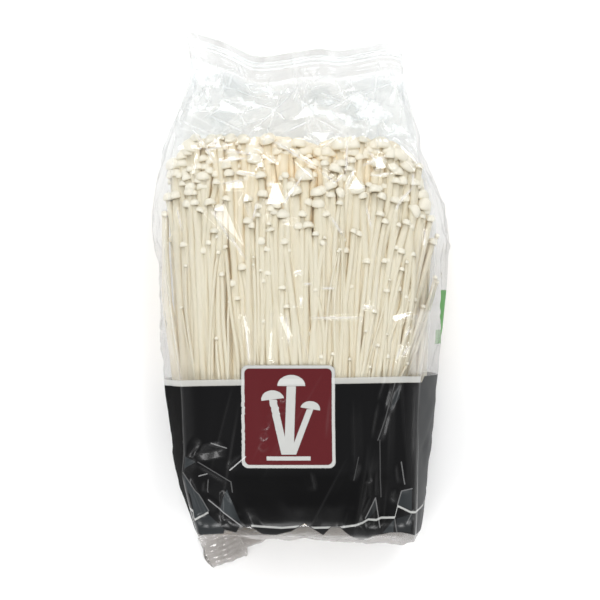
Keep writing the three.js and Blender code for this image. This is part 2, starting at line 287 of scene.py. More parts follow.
def mesh_object(name, points, quads, triangles=None, uv=None, values=None):
    """A mesh from points in millimetres. uv holds one pair for each point, or for each face's corner, and
    values one number for each point under each name."""
    mesh = bpy.data.meshes.new(name)
    triangles = np.zeros((0, 3), int) if triangles is None else triangles
    corners = np.concatenate([quads.ravel(), triangles.ravel()]).astype(np.int32)
    sizes = np.concatenate([np.full(len(quads), 4), np.full(len(triangles), 3)]).astype(np.int32)
    mesh.vertices.add(len(points))
    mesh.vertices.foreach_set("co", (points * MM).astype(np.float32).ravel())
    mesh.loops.add(len(corners))
    mesh.loops.foreach_set("vertex_index", corners)
    mesh.polygons.add(len(sizes))
    mesh.polygons.foreach_set("loop_start", np.concatenate([[0], np.cumsum(sizes)[:-1]]).astype(np.int32))
    mesh.polygons.foreach_set("use_smooth", np.ones(len(sizes), bool))
    mesh.update(calc_edges=True)
    if uv is not None:
        layer = mesh.uv_layers.new(name="surface")
        at_corners = uv if len(uv) == len(corners) else uv[corners]
        layer.data.foreach_set("uv", at_corners.astype(np.float32).ravel())
    for key, numbers in (values or {}).items():
        attribute = mesh.attributes.new(key, "FLOAT", "POINT")
        attribute.data.foreach_set("value", numbers.astype(np.float32))
    mesh.validate()
    made = bpy.data.objects.new(name, mesh)
    scene.collection.objects.link(made)
    print(name, "has", 2 * len(quads) + len(triangles), "triangles")
    return made


def smooth(t):
    """An S-shaped ramp from 0 to 1: three t squared less two t cubed, held between 0 and 1."""
    t = np.clip(t, 0, 1)
    return t * t * (3 - 2 * t)


print("mesh helper ready")

# %% [markdown]
# ## The bunch: where each mushroom stands
# The stems all start in one base. The bunch's cross-section is a rounded rectangle, a superellipse, and it
# widens from the base to the crown. The front row, which is what one sees, is listed one mushroom at a
# time: large caps at the crown, smaller ones lower down, and pinheads that stopped growing early. The rest
# fill the bunch evenly along a sunflower's spiral, and more young ones stand round its sides and back.

# %% Bunch layout
BUNCH_HEIGHT = 22.7  # of the bunch's middle above the table
ROOT_Y, ROOT_HALF_WIDTH, ROOT_HALF_DEPTH = -76.0, 43.0, 16.0
CROWN_Y, CROWN_HALF_WIDTH, CROWN_HALF_DEPTH = 63.0, 49.0, 18.4
SHOULDER_Y = 40.0
SQUARENESS = 2.6
rng = np.random.default_rng(41)


def padded(length, filling, rows):
    """An array of the rows, each filled up to the same length."""
    return np.array([(*row, *[filling] * (length - len(row))) for row in rows])


# Each mushroom of the front row: the middle of its cap in x and y, and the cap's radius. A few have the lean
# of the cap in degrees (to the right is positive) and a shift of its root to the right.
FRONT_ROW = padded(5, 0, [
    (-41.3, 58.3, 4, -14, 4), (-47.6, 51.8, 3.2, -6, 2), (-36.3, 46.7, 2.7), (-42.6, 46.2, 1.9),
    (-41.2, 41.1, 2.3), (-39.4, 36.9, 1.9), (-49.6, 39.3, 2.3), (-51, 33, 1.7), (-39.3, 61.2, 2.1),
    (-30, 61, 1.9), (-25.9, 60.9, 2.3), (-21.2, 60.4, 2.7), (-33, 60.4, 2.9), (-26.5, 47.8, 2.2),
    (-17, 53.2, 3, 0, -2), (-12.1, 60.6, 3.3, -18, 3), (-5.5, 58.4, 3.5, 4, -2), (-0.4, 58.8, 3.1, 8, -1),
    (1.6, 47.1, 3.5), (-14.6, 46.7, 2.3, -6, -2), (-5.5, 46.9, 1.6), (-2.2, 41.1, 3.1, -10, 3),
    (6.3, 40.5, 2.6), (6.9, 36.4, 2.7), (11.4, 43.1, 2.7, -14), (15.1, 40.3, 2.3, 60, 2), (9.2, 51.4, 1.7),
    (13.3, 49.4, 2.9, 6), (15.5, 51.2, 2.4), (15, 58.4, 3.8), (18.4, 49.3, 1.8), (-6.2, 32.4, 2.7, -4, 1),
    (-15.7, 31.9, 1.2), (2.8, 28.5, 1.8), (14.8, 36.4, 1.4), (19.6, 58.4, 3.7), (23.4, 60.2, 2),
    (30.2, 58.8, 4), (37.3, 54.7, 3.6, 10), (40.2, 50.8, 2.9, 14, -3), (29.3, 51.7, 3.4, 0, -2),
    (34.9, 49.8, 2.4, 30), (35.9, 44.7, 2.1, 4), (42.7, 44.2, 1.5), (21.2, 42.3, 3.4, -8),
    (35.7, 37.6, 2.4, 0, -3), (42.9, 33.9, 2.9, 48), (29.8, 32.4, 1.7), (31.6, 29.8, 1.4),
    (39.9, 29.5, 1.7), (49.3, 31.2, 1.9, -12), (45, 50.7, 1.6), (19.2, 52.6, 1.9), (-50.6, 22, 1),
    (-34.1, 21.8, 1.2), (-31.8, 26.1, 1.9), (-30.4, 18.1, 0.9), (-27.8, 20.1, 1, -20, 4), (-29.1, 10, 1.1),
    (-50, 5, 1), (-42.9, 13.2, 0.7), (-44.6, -2.4, 0.8, -14, 5), (-26.4, -0.2, 0.6),
    (-14.4, 22.5, 2, 0, -2), (-12.1, 19.4, 1.6), (-11.1, 26.5, 1.8, -6, 5), (-11.6, 28.7, 0.9),
    (-5.8, 22.1, 1.8), (-11.9, 10.5, 1.6), (-13.6, 7.6, 1), (-14.6, 11.4, 0.8), (-17.3, 16.2, 0.6),
    (-17.3, 13.6, 0.6), (-6.6, 4.9, 1.6, 0, -2), (-5, -2, 1.3), (-2.5, -2, 1.2), (2.9, 28, 2.3),
    (5.9, 25, 1.4, 0, -2), (8.6, 21.7, 1.4), (9.2, 23.5, 0.8), (5.8, 4.1, 1.2), (14.8, 19.2, 0.8),
    (31.8, 29.6, 1.4), (40, 29.3, 1.7, 0, -4), (36.8, 28.5, 1), (19.9, 26, 1.3, 20),
    (37.8, 18.8, 1.7, 0, -5), (42.3, 17.5, 1.2, 0, -4), (40, 14.6, 0.8), (38.1, 11.9, 1.2),
    (24.9, 14.6, 1.2), (33.4, 7.9, 0.6), (50.4, 22.5, 1.8, 0, -4), (52.1, 24.7, 1), (32.3, 4, 1.3),
    (39.6, 1.6, 1.1, 0, -4), (40.9, 0.2, 0.6), (51.3, 8.9, 1, 0, -6), (52.1, 7.2, 1),
    (46.5, -2.1, 1, 0, -3), (27.6, -3.8, 1.2), (42, 5.8, 0.8), (14.2, 18.5, 0.7), (15.4, 25.6, 0.6),
    (8, -20.7, 1.15), (12.2, -19.6, 0.85), (18.5, -21.6, 0.7), (26.1, -24.6, 0.75), (29, -16.5, 0.9),
    (32.7, -20.6, 1), (24.5, -11.1, 0.8), (32.3, -12.4, 0.75), (-13.7, -7.4, 1), (-31.1, -13.9, 0.85),
    (40.4, -23.4, 0.75),
])
print(len(FRONT_ROW), "mushrooms in the front row")

# %% [markdown]
# ## The bunch: its rounded shape
# The mushrooms stand inside one rounded outline that widens towards the crown, so the outline and its size at
# each height are functions that every rule below asks. A cap also says how thick its stem is.

# %% Bunch outline
def outline(angle):
    """A point of the bunch's rounded outline for half-sizes of 1: the cosine and the sine of the angle, each
    raised to 2 over the squareness with its sign kept."""
    bend = lambda v: np.sign(v) * np.abs(v) ** (2 / SQUARENESS)
    return bend(np.cos(angle)), bend(np.sin(angle))


def half_sizes(y):
    """The bunch's half-width and half-depth, which grow straight from the root to the crown."""
    rise = (y - ROOT_Y) / (CROWN_Y - ROOT_Y)
    return (ROOT_HALF_WIDTH + (CROWN_HALF_WIDTH - ROOT_HALF_WIDTH) * rise,
            ROOT_HALF_DEPTH + (CROWN_HALF_DEPTH - ROOT_HALF_DEPTH) * rise)


def stem_radius(cap):
    """0.44 of the cap's radius and 0.55 mm, but at most four fifths of the cap's radius: a small cap has a
    stouter stem for its size."""
    return np.minimum(0.44 * cap + 0.55, 0.8 * cap)


def front_of(x, y, overhang):
    """How far the outline stands out at x, as a share of its half-depth."""
    across = np.minimum(np.abs(x / (half_sizes(y)[0] + overhang)), 0.985)
    return (1 - across ** SQUARENESS) ** (1 / SQUARENESS)


print("half-sizes at the crown:", half_sizes(CROWN_Y))

# %% [markdown]
# ## The bunch: how the mushrooms are placed
# Each group of mushrooms is one table, a row for each mushroom, that says where it starts, where it ends and
# how thick it is. A little chance in each keeps the rules from showing.

# %% One row for each mushroom
LEFTMOST_ROOT = 1.9 - ROOT_HALF_WIDTH
HIDDEN_OVERHANG = 6.0  # how far past the stems the front's rounding ends
# How high the caps reach at each x: the crown is nearly level, with a dip in the middle, and falls away at
# both sides.
CROWN_AT = [-56, -50, -48, -42, -33, -8, 2, 9, 18, 31, 37, 41, 48, 54]
CROWN_TO = [20, 36, 50, 57.5, 60.2, 60.2, 58, 58, 60.4, 60.2, 57.5, 52, 34, 20]


def under_crown(x, y):
    """y held below the crown line."""
    return np.minimum(y, np.interp(x, CROWN_AT, CROWN_TO) - 4 * rng.random(np.shape(x)) ** 2)


def bunch_table(root, tip, cap, lean, bow, sway=0.0):
    """One row for each mushroom: root x and z, tip x, y and z, cap radius, stem radius, lean, bow x and z,
    and sway, which is how strongly the stem turns aside near its top. On the left the foot's film keeps the
    roots in."""
    root_x = np.maximum(root[0], LEFTMOST_ROOT)
    columns = [root_x, root[1], *tip, cap, stem_radius(cap), lean, *bow, sway]
    return np.stack([np.broadcast_to(c, np.shape(cap)) for c in columns], -1)


def gathered(x):
    """How far a mushroom's root lies from the place under its tip: the bunch fans out from its base, on the
    right more than on the left."""
    return 0.04 * np.maximum(-x - 18, 0) - 0.5 * np.maximum(x - 18, 0)


def front_root(x, inward=0.0):
    """A root's x, held to the base's width, and its z on the base's front, some way in."""
    x = np.clip(x, -ROOT_HALF_WIDTH, ROOT_HALF_WIDTH)
    return x, (ROOT_HALF_DEPTH + 1.5 - inward) * front_of(x, ROOT_Y, 4.0)


print("crown from", CROWN_AT[0], "to", CROWN_AT[-1])

# %% [markdown]
# The front row is listed above. Here its tips are put on the outline's front, and its roots are
# gathered on the base.

# %% Front row
def front_row():
    """The listed row: its tips lie on the outline's front, the tall ones a little behind the short."""
    x, y, cap, lean, shift = FRONT_ROW.T
    half_width, half_depth = half_sizes(y)
    front = front_of(x, y, HIDDEN_OVERHANG)
    rounding = 0.12 * np.maximum(y - SHOULDER_Y, 0)
    z = (half_depth + 3.4 - cap) * front - rounding
    inwards = 3.0 * np.sign(x) * smooth((np.abs(x) - 25) / 15) * smooth((y - 20) / 30)
    root_x = ROOT_HALF_WIDTH * 0.97 * x / (half_width + 2) + shift - inwards + rng.normal(0, 3.6, len(x))
    root = front_root(root_x + gathered(x))
    tall = smooth((y + 10) / 70)
    bow = (rng.normal(0, 2.2, len(x)), 1.3 - 2.2 * tall + rng.normal(0, 0.4, len(x)))
    outwards = 3.4 * smooth((np.abs(x) - 28) / 12) * np.sign(x) * smooth((y - 10) / 30)
    sway = (rng.normal(0, 3.2, len(x)) + outwards) * (0.35 + 0.65 * tall)
    return bunch_table(root, (x, y, z), cap, lean, bow, sway)


front_table = front_row()
print("front", len(front_table))

# %% [markdown]
# Combs of mushrooms stand behind the front row, one after the other, and fill its gaps.

# %% Combs
def comb(count, inward, low, high, low_cap, high_cap, left=-1.0, right=1.0):
    """A row of mushrooms side by side across the bunch, some way in behind its front, which fills the gaps
    of the row before it. Their tips lie between two heights, and two shares of the half-width."""
    share = left + (np.arange(count) + 0.5 + rng.uniform(-0.3, 0.3, count)) / count * (right - left)
    grown = rng.random(count)
    y = low + (high - low) * grown**0.6
    cap = low_cap + (high_cap - low_cap) * np.clip(grown + rng.normal(0, 0.25, count), 0, 1)
    half_width, half_depth = half_sizes(y)
    x = share * (half_width - 0.5 * inward)
    y = under_crown(x, y)
    front = front_of(x, y, HIDDEN_OVERHANG)
    z = (half_depth + 2.6 - inward - 0.5 * cap) * front - 0.12 * np.maximum(y - SHOULDER_Y, 0)
    root_x = share * (ROOT_HALF_WIDTH - 0.5 * inward) + rng.normal(0, 3.4, count)
    root = front_root(root_x + gathered(x), inward)
    bow = (rng.normal(0, 2.4, count), rng.normal(0.3, 0.4, count))
    lean, sway = rng.normal(0, 8, count), rng.normal(0, 2.6, count)
    return bunch_table(root, (x, y, z), cap, lean, bow, sway)


# Combs: how many, how far in, lowest and highest tip, smallest and largest cap.
behind_table = np.concatenate([
    comb(36, 1.4, 32, 62, 1.6, 3.1),
    comb(38, 3.0, 40, 62, 2.0, 3.5),
    comb(38, 5.2, 46, 63, 2.4, 3.8),
    comb(27, 8.0, 50, 63, 2.6, 4.0),
])
print("behind", len(behind_table))

# %% [markdown]
# The inside is filled along a spiral, as a sunflower places its seeds: it leaves no gap and no row.

# %% Spiral
def spiral(count, reach, low_cap, high_cap, droop_most):
    """Mushrooms through the whole bunch, evenly spread: the share of the outline grows as the square root
    of the count, turned by the golden angle each time."""
    i = np.arange(count)
    share = reach * np.sqrt((i + 0.5) / count)
    px, pz = outline(i * math.pi * (3 - math.sqrt(5)))
    u, w = share * px, share * pz
    droop = droop_most * rng.random(count) ** 1.8
    cap = high_cap - (high_cap - low_cap) * rng.random(count) ** 1.3 - 0.045 * droop
    x = CROWN_HALF_WIDTH * u + rng.normal(0, 0.8, count)
    tip = (x, under_crown(x, CROWN_Y - 1.5 - droop - 5 * u * u - 6 * w * w),
           CROWN_HALF_DEPTH * w + rng.normal(0, 0.4, count))
    bow = (rng.normal(0, 1.2, count), rng.normal(0, 0.6, count))
    return bunch_table((ROOT_HALF_WIDTH * u, ROOT_HALF_DEPTH * w), tip, cap, rng.normal(0, 7, count), bow)


inner_table = spiral(120, 0.82, 2.8, 4.4, 14)
print("inner", len(inner_table))

# %% [markdown]
# Round the sides and the back the mushrooms stand side by side along the outline, in a few wraps.

# %% Wraps
def wrap(pitch, first, last, low, high, inward, low_cap, high_cap):
    """Mushrooms side by side along the outline between two angles, this far apart, some way in. The outline's
    length is summed up first, so that they are evenly spaced at its corners too."""
    fine = np.radians(np.linspace(first, last, 2000))
    px, pz = outline(fine)
    run = np.concatenate([[0], np.cumsum(np.hypot(np.diff(46 * px), np.diff(17.5 * pz)))])
    count = int(run[-1] / pitch)
    angle = np.interp((np.arange(count) + 0.5 + rng.uniform(-0.25, 0.25, count)) * run[-1] / count, run, fine)
    px, pz = outline(angle)
    grown = rng.random(count)
    y = low + (high - low) * grown**0.7
    cap = low_cap + (high_cap - low_cap) * np.clip(grown + rng.normal(0, 0.2, count), 0, 1)
    half_width, half_depth = half_sizes(y)
    deep = inward + 0.4 * cap
    x = (half_width + 2.0 - deep) * px + rng.normal(0, 0.5, count)
    tip = (x, under_crown(x, y), (half_depth + 2.0 - deep) * pz)
    root = ((ROOT_HALF_WIDTH + 0.5 - inward) * px, (ROOT_HALF_DEPTH + 0.5 - inward) * pz)
    bow = (rng.normal(0, 1.0, count), rng.normal(0, 0.5, count))
    return bunch_table(root, tip, cap, rng.normal(0, 8, count), bow)


# Wraps: pitch, first and last angle, lowest and highest tip, how far in, smallest and largest cap.
back_table = np.concatenate([
    wrap(3.1, 126, 414, 18, 60, 1.0, 1.5, 3.2),
    wrap(2.9, 124, 416, 44, 62, 3.4, 2.2, 3.6),
    wrap(3.6, 148, 392, 50, 62, 6.4, 2.6, 3.8),
    wrap(6.5, 154, 386, -34, 30, -0.4, 0.8, 1.9),
    comb(46, 1.0, -14, 44, 1.3, 2.5),
    comb(46, 2.2, 45, 60, 1.6, 2.8),
    comb(6, 1.0, 30, 54, 1.3, 2.3, -1.0, -0.82),
])
print("back", len(back_table))

# %% [markdown]
# ## The bunch: what a mushroom looks like
# One mushroom is one closed surface: a thin stem that runs along a bent line, then the underside of the
# cap, its rolled margin and its dome. All mushrooms of a group are worked out at once, as an array with one
# grid for each of them, so that there is no loop over points.

# %% Stems and caps
LEFTMOST_STEM = -51.0  # the left side panel keeps them in
# The cap's outline, from the stem over the underside and the margin to the top: radius and height in cap
# radii.
CAP_OUTLINE = np.array([
    (0.40, 0.02), (0.56, -0.07), (0.78, -0.15), (0.93, -0.10), (1, 0.05), (0.985, 0.25),
    (0.92, 0.47), (0.78, 0.69), (0.56, 0.86), (0.29, 0.95),
])
SUMMIT = 0.67  # the top's height above the stem's end, in cap radii
SEAT = 0.3  # how much lower than its outline the cap sits on the stem


UP = [0.0, 0.0, 1.0]


def unit(v):
    return v / np.linalg.norm(v, axis=-1, keepdims=True)


def stem_rings(table, sides, rows):
    """A stem's line is a quadratic curve from root to tip with a slow wave added; a ring round it is the line
    plus the radius times the cosine and the sine of the angle along two directions square to it. With the
    rings come the line's start, the three directions at its end, and the phases of the waves."""
    count = len(table)
    rx, rz, tx, ty, tz, _, stem, _, bow_x, bow_z, sway = table.T
    root = np.stack([rx, np.full(count, ROOT_Y), rz], -1)
    tip = np.stack([tx, ty, tz], -1)
    middle = root + 0.55 * (tip - root) + np.stack([bow_x, 0 * bow_x, bow_z], -1)
    t = np.linspace(0, 1, rows)[None, :, None]
    line = (1 - t) ** 2 * root[:, None] + 2 * t * (1 - t) * middle[:, None] + t * t * tip[:, None]
    t = t[..., 0]
    phase = 2 * math.pi * rng.random((count, 2))
    wave = np.sin(2 * math.pi * t * (1.3 + rng.random((count, 1))) + phase[:, :1])
    line[..., 0] += 0.45 * wave * np.sin(math.pi * t) + sway[:, None] * (t ** 5 - t)
    line[..., 0] = np.maximum(line[..., 0], LEFTMOST_STEM)
    slope = unit(np.gradient(line, axis=1))
    right = unit(np.cross(slope, UP))
    front = np.cross(right, slope)
    angle = 2 * math.pi * np.arange(sides) / sides
    flat = 0.9 + 0.2 * rng.random((count, 1))
    thick = stem[:, None] * (1.14 - 0.24 * t + 0.05 * wave)
    thick[:, -2:] *= [0.98, 0.95]
    ring = (np.cos(angle)[:, None] * right[:, :, None] * flat[..., None, None]
            + np.sin(angle)[:, None] * front[:, :, None])
    rings = line[:, :, None] + thick[..., None, None] * ring
    return rings, line[:, :1], (slope[:, -1], right[:, -1], front[:, -1]), phase


def cap_rings(table, sides, directions, phase):
    """The cap's rings follow its outline along an axis that leans from the stem's end. Two waves round it
    make it a little lumpy, and small caps are taller for their size. With them comes the summit."""
    slope, right, front = directions
    tip, cap, lean = table[:, 2:5], table[:, 5], table[:, 7]
    tilt = np.radians(lean)[:, None]
    forward = rng.normal(0.1, 0.16, (len(table), 1))
    axis = unit(slope * np.cos(tilt) + right * np.sin(tilt) + front * forward)
    side = unit(np.cross(axis, UP))
    fore = np.cross(side, axis)
    radius, height = CAP_OUTLINE.T
    angle = 2 * math.pi * np.arange(sides) / sides
    lump = 1 + 0.045 * np.sin(2 * angle + phase[:, :1]) + 0.025 * np.sin(3 * angle + phase[:, 1:])
    squat = 1.1 + 0.25 * smooth((1.7 - cap) / 1.0) + 0.07 * rng.normal(0, 1, len(table))
    squat = squat[:, None, None, None]
    ring = np.cos(angle)[:, None] * side[:, None, None] + np.sin(angle)[:, None] * fore[:, None, None]
    rings = tip[:, None, None] + cap[:, None, None, None] * (
        radius[None, :, None, None] * lump[:, None, :, None] * ring
        + (height[None, :, None, None] - SEAT) * squat * axis[:, None, None])
    return rings, (tip + cap[:, None] * SUMMIT * squat[:, 0, 0] * axis)[:, None]


print("cap outline has", len(CAP_OUTLINE), "rings")

# %% [markdown]
# All mushrooms of a group become one mesh. Its finish needs to know how high a point is on its stem, whether
# it is on the cap or under it, and how deep in the bunch it lies, so those go along as attributes.

# %% Mushroom meshes
def mushroom_surfaces(name, table, sides, rows):
    """A mesh of mushrooms. A point counts as deep where it lies well inside the bunch's outline, and on a
    stem's flanks, which face the next stems."""
    count, height = len(table), CAP_OUTLINE[:, 1]
    stems, start, directions, phase = stem_rings(table, sides, rows)
    caps, summit = cap_rings(table, sides, directions, phase)
    every = np.concatenate([stems, caps], 1)
    levels = every.shape[1]
    each = levels * sides
    points = np.concatenate([every.reshape(count, each, 3), start, summit], 1).reshape(-1, 3)
    step = (each + 2) * np.arange(count)[:, None, None]
    quads = (grid_faces(levels, sides) + step).reshape(-1, 4)
    fans = (end_fans(levels, sides, each, each + 1) + step).reshape(-1, 3)

    def measured(by_level, by_side, at_ends):
        """A number for each point, alike for all mushrooms: a level's times a side's, then the ends' own."""
        return np.tile(np.append(np.outer(by_level, by_side), at_ends), count)

    level, same, t = np.arange(levels), np.ones(sides), np.linspace(0, 1, rows)
    angle = 2 * math.pi * np.arange(sides) / sides
    around = measured(np.ones(levels), np.arange(sides) / sides, [0, 0])
    along = measured(np.append(t, np.ones(len(height))), same, [0, 1])
    is_cap = measured(np.append(0 * t, smooth((height + 0.1) / 0.2)), same, [0, 1])
    # under marks the cap's underside near the stem, where the finish paints shade
    under = measured(np.exp(-((level - rows - 0.5) / 1.6) ** 2), same, [0, 0])
    # flank and share make deep: where the finish paints the warm light that comes out between the stems
    flank = measured(level < rows, smooth((0.45 - np.sin(angle)) / 0.5), [0, 0])
    half_width, half_depth = half_sizes(points[:, 1])
    share = (np.abs(points[:, 0] / (half_width + 2)) ** SQUARENESS
             + np.abs(points[:, 2] / (half_depth + 2.5)) ** SQUARENESS) ** (1 / SQUARENESS)
    values = dict(tone=np.repeat(rng.random(count), each + 2), cap=is_cap, under=under,
                  deep=np.maximum(smooth((1.0 - share) / 0.27), 0.85 * flank))
    uv = np.stack([around, along], -1)
    return mesh_object(name, points + [0, 0, BUNCH_HEIGHT], quads, fans, uv, values)


mushrooms_front = mushroom_surfaces("mushrooms_front", np.concatenate([front_table, behind_table]), 14, 18)
mushrooms_back = mushroom_surfaces("mushrooms_back", np.concatenate([inner_table, back_table]), 12, 12)

# %% [markdown]
# ## The base
# The base is where all stems grow together: a cut block, flat below and lumpy above, with the stems' feet
# standing out of it. It is a lofted superellipse with a wavy radius: rings of the bunch's outline, each
# scaled by a profile. A second, darker lump fills the bunch's inside in the same way, so both share the
# function that turns rings into a closed mesh.

# %% Base
BASE_END, BASE_TOP = -84.5, -64.0
BASE_HALF_WIDTH, BASE_HALF_DEPTH = 40.5, 16.6


def closed_lump(name, x, y, z, first, last):
    """A mesh from rings of points, closed by fans to two points on the middle line, at y first and last."""
    points = np.stack(np.broadcast_arrays(x, y, z), -1)
    rows, columns = points.shape[:2]
    points = np.concatenate([points.reshape(-1, 3), [(0, first, 0), (0, last, 0)]]) + [0, 0, BUNCH_HEIGHT]
    fans = end_fans(rows, columns, rows * columns, rows * columns + 1)
    return mesh_object(name, points, grid_faces(rows, columns)[:, ::-1], fans[:, ::-1])


def base_surface():
    """Rings scaled by a profile: out from the middle of the cut end to its rim, then up the sides, and in
    again under the stems. The cut end has low rises and dips, and the sides have ridges that run lengthwise
    where the stems grow out."""
    end_rows, side_rows, columns = 14, 26, 240
    t = np.linspace(0, 1, side_rows)
    profile = np.concatenate([np.linspace(0.05, 0.93, end_rows), 0.95 + 0.05 * smooth(t / 0.15)
                              - 0.14 * smooth((t - 0.72) / 0.28)])[:, None]
    rise = np.concatenate([np.zeros(end_rows), 0.02 + 0.98 * t])[:, None]
    angle = 2 * math.pi * np.arange(columns)[None, :] / columns
    px, pz = outline(angle)
    ridges = 0.55 * np.abs(np.sin(17 * angle + 2 * np.sin(3 * angle))) * smooth(rise / 0.5)
    ridges = ridges + 0.5 * np.sin(5 * angle + 9 * rise) * smooth(profile / 0.5)
    x = (BASE_HALF_WIDTH * profile + ridges) * px
    z = (BASE_HALF_DEPTH * profile + ridges) * pz
    dents = 0.45 * np.sin(0.55 * x + 1.3 * np.sin(0.4 * z)) * np.cos(0.7 * z + 0.8 * np.sin(0.3 * x))
    y = BASE_END + 0.6 + (BASE_TOP - BASE_END) * rise + dents * (1 - smooth(rise / 0.1))
    return closed_lump("base", x, y + 0.3 * np.sin(9 * angle) * rise, z, BASE_END + 0.6, BASE_TOP)


base = base_surface()

# %% [markdown]
# Between the front stems one sees more stems, and more behind those. They only show in narrow gaps, so the
# inside of the bunch is one closed lump: the outline at four fifths of its size, with deep furrows along it
# that are as wide as a stem. No light or table shows through the bunch.

# %% Inner stems
CORE_FROM, CORE_TOP = BASE_TOP - 6, 45.0
CORE_SHARE = 0.84
FURROWS = 44


def inner_stems():
    """Rings of the bunch's outline, scaled by the core's share, less furrows: the absolute value of a sine of
    the angle, whose pitch is one stem, bent a little along the bunch."""
    rows, columns = 44, 440
    t = np.linspace(0, 1, rows)[:, None]
    y = CORE_FROM + (CORE_TOP - CORE_FROM) * t
    angle = 2 * math.pi * np.arange(columns)[None, :] / columns
    px, pz = outline(angle)
    half_width, half_depth = half_sizes(y)
    bent = angle + 0.012 * np.sin(5 * t + 7 * angle)
    furrow = 1.5 * (1 - np.abs(np.sin(FURROWS * bent))) + 0.9 * np.sin(13 * angle + 3 * t)
    closing = np.sqrt(1 - smooth((t - 0.88) / 0.12) * 0.97)
    x = (half_width * CORE_SHARE - furrow) * px * closing
    z = (half_depth * CORE_SHARE - furrow) * pz * closing
    y = y + 1.5 * np.sin(29 * angle) * smooth((t - 0.8) / 0.2)
    return closed_lump("inner_stems", x, y, z, CORE_FROM, CORE_TOP + 1)


core = inner_stems()

# %% [markdown]
# ## The film: where it runs
# The bag is one tube of film. Going round it: the front panel, the right side panel, the back and the left
# side. Stations along the bag say how wide, how deep and how high it is, and a smooth curve joins them.
# Slack film doesn't hang evenly, so a few short tables then say how far each fold and side panel strays
# from that curve.

# %% Film stations
# y, middle x, half-width between the front folds, bulge of the sides, lowest and highest z, crown of the
# front panel, and how much of the upper weld's slant there is.
STATIONS = np.array([
    (-96.2, 2.2, 38.6, -1, 1.4, 4, 0.2, 0),
    (-95.8, 2.2, 40, 0, 0.5, 10, 0.3, 0),
    (-94.6, 2.1, 40.6, 0.4, 0.3, 21, 0.4, 0),
    (-92.6, 1.9, 40.9, 1, 0.3, 32, 0.6, 0),
    (-90, 1.6, 41.1, 1.9, 0.3, 38.6, 0.8, 0),
    (-86.5, 1.3, 41.4, 2.8, 0.3, 41.6, 0.8, 0),
    (-76, 0.8, 42.2, 4.4, 0.3, 42.8, 1, 0),
    (-50, 0.2, 43.4, 6.5, 0.3, 43.6, 1.2, 0),
    (-30, 0.1, 44.4, 7.6, 0.3, 44, 1.2, 0),
    (-10, 0.1, 47.2, 7.2, 0.3, 44.2, 1.2, 0),
    (24, 0, 50.2, 6.2, 0.3, 44.4, 1.2, 0),
    (40, 0.2, 48.6, 5.4, 0.3, 44.2, 1.2, 0),
    (54, -1.6, 45.6, 4.2, 0.3, 43, 1.2, 0),
    (66, -2.3, 45, 2.4, 1.2, 39.6, 1, 0.1),
    (75, -2, 43.6, -0.6, 5.5, 31.5, 0.6, 0.35),
    (82, -1.6, 42.4, -2.2, 11, 22, 0.3, 0.5),
    (88.5, -1.8, 42, -0.6, 14.4, 16.6, 0, 0.95),
    (99, -2.3, 41.8, 0, 15, 15.7, 0, 1),
])
FRONT_COLUMNS, SIDE_COLUMNS, BACK_COLUMNS = 176, 26, 36
FILM_ROWS = 374


def along_stations(y):
    """The stations' numbers at y, on smooth curves: cubic pieces whose slope at each station is the mean of
    its neighbours' slopes."""
    at, numbers = STATIONS[:, 0], STATIONS[:, 1:]
    slopes = np.gradient(numbers, at, axis=0)
    k = np.clip(np.searchsorted(at, y) - 1, 0, len(at) - 2)
    gap = at[k + 1] - at[k]
    t = ((y - at[k]) / gap)[:, None]
    gap = gap[:, None]
    return ((2 * t**3 - 3 * t**2 + 1) * numbers[k] + (t**3 - 2 * t**2 + t) * gap * slopes[k]
            + (3 * t**2 - 2 * t**3) * numbers[k + 1] + (t**3 - t**2) * gap * slopes[k + 1])


# The upper weld's edge, as it runs from the left to the right: shares of the half-width, and millimetres
# ahead of the last station.
EDGE_AT = [-1, -0.82, -0.64, -0.5, -0.38, -0.2, -0.06, 0.1, 0.26, 0.4, 0.55, 0.85, 0.93, 1]
EDGE_TO = [6.5, 4.2, 1.8, -1.2, -3.7, -3.4, -2.5, -1.6, -0.7, -2, -0.8, 1.8, 1.2, -0.7]


def slant_at(share):
    """How far the upper weld's edge runs ahead of its station: the points above, joined by straight lines
    and softened by a mean over a short window."""
    window = np.linspace(-0.06, 0.06, 5)
    return sum(np.interp(share + w, EDGE_AT, EDGE_TO) for w in window) / 5


# Places along the bag, and how far in the left fold lies there, how far in the left side panel lies, and how
# far out the right one does.
FOLD_AT = [-96, -90, -84, -78, -72, -64, -56, 56, 62, 68, 72, 84, 88, 96]
FOLD_IN = [2.4, 2.2, 1.8, 0.7, -0.3, -1.5, 0, 0, 0.6, 0.9, 1.6, 1.6, 1, 0]
LEFT_AT = [-90, -83, -76, -64, -58, -50, -26, -20, -8, 0, 4, 7.5, 16, 19.4, 23, 27, 31, 35, 39, 43, 50, 55,
           62, 70]
LEFT_IN = [0, 0.9, 1.4, 1.7, 0.2, 0, -0.3, 1.2, 0.8, 1.5, 2.7, 3.1, 2.9, 2.3, 0, -0.8, -0.7, -1.7, -2.2,
           -2.1, -1.4, -0.5, 0.3, 0]
RIGHT_AT = [-92, -87, -80, -76, -72, -66, -61, -57, -50, -38, -34, -20, 16, 19, 23, 27, 31, 35, 39, 54, 58,
            62]
RIGHT_OUT = [0, 1.2, 0.9, 0.7, 0.2, 0.2, 0.4, 0.9, 1.1, 1.1, 0.6, 0.3, 0.2, 0.5, 1.5, 0.7, 0, -0.5, -0.8,
             -0.9, -0.9, 0]
# How far in the bag's end lies at each x.
END_AT = [-40, -30, -9, -5, -2, 2, 5.5, 10, 14, 18, 26, 30, 33, 36, 39, 43]
END_IN = [3.2, 3.2, 3.2, 2.8, 2.2, 2.6, 1.8, 1.2, 1.2, 1.6, 1.4, 2.2, 2.3, 1.7, 0.3, 0.6]

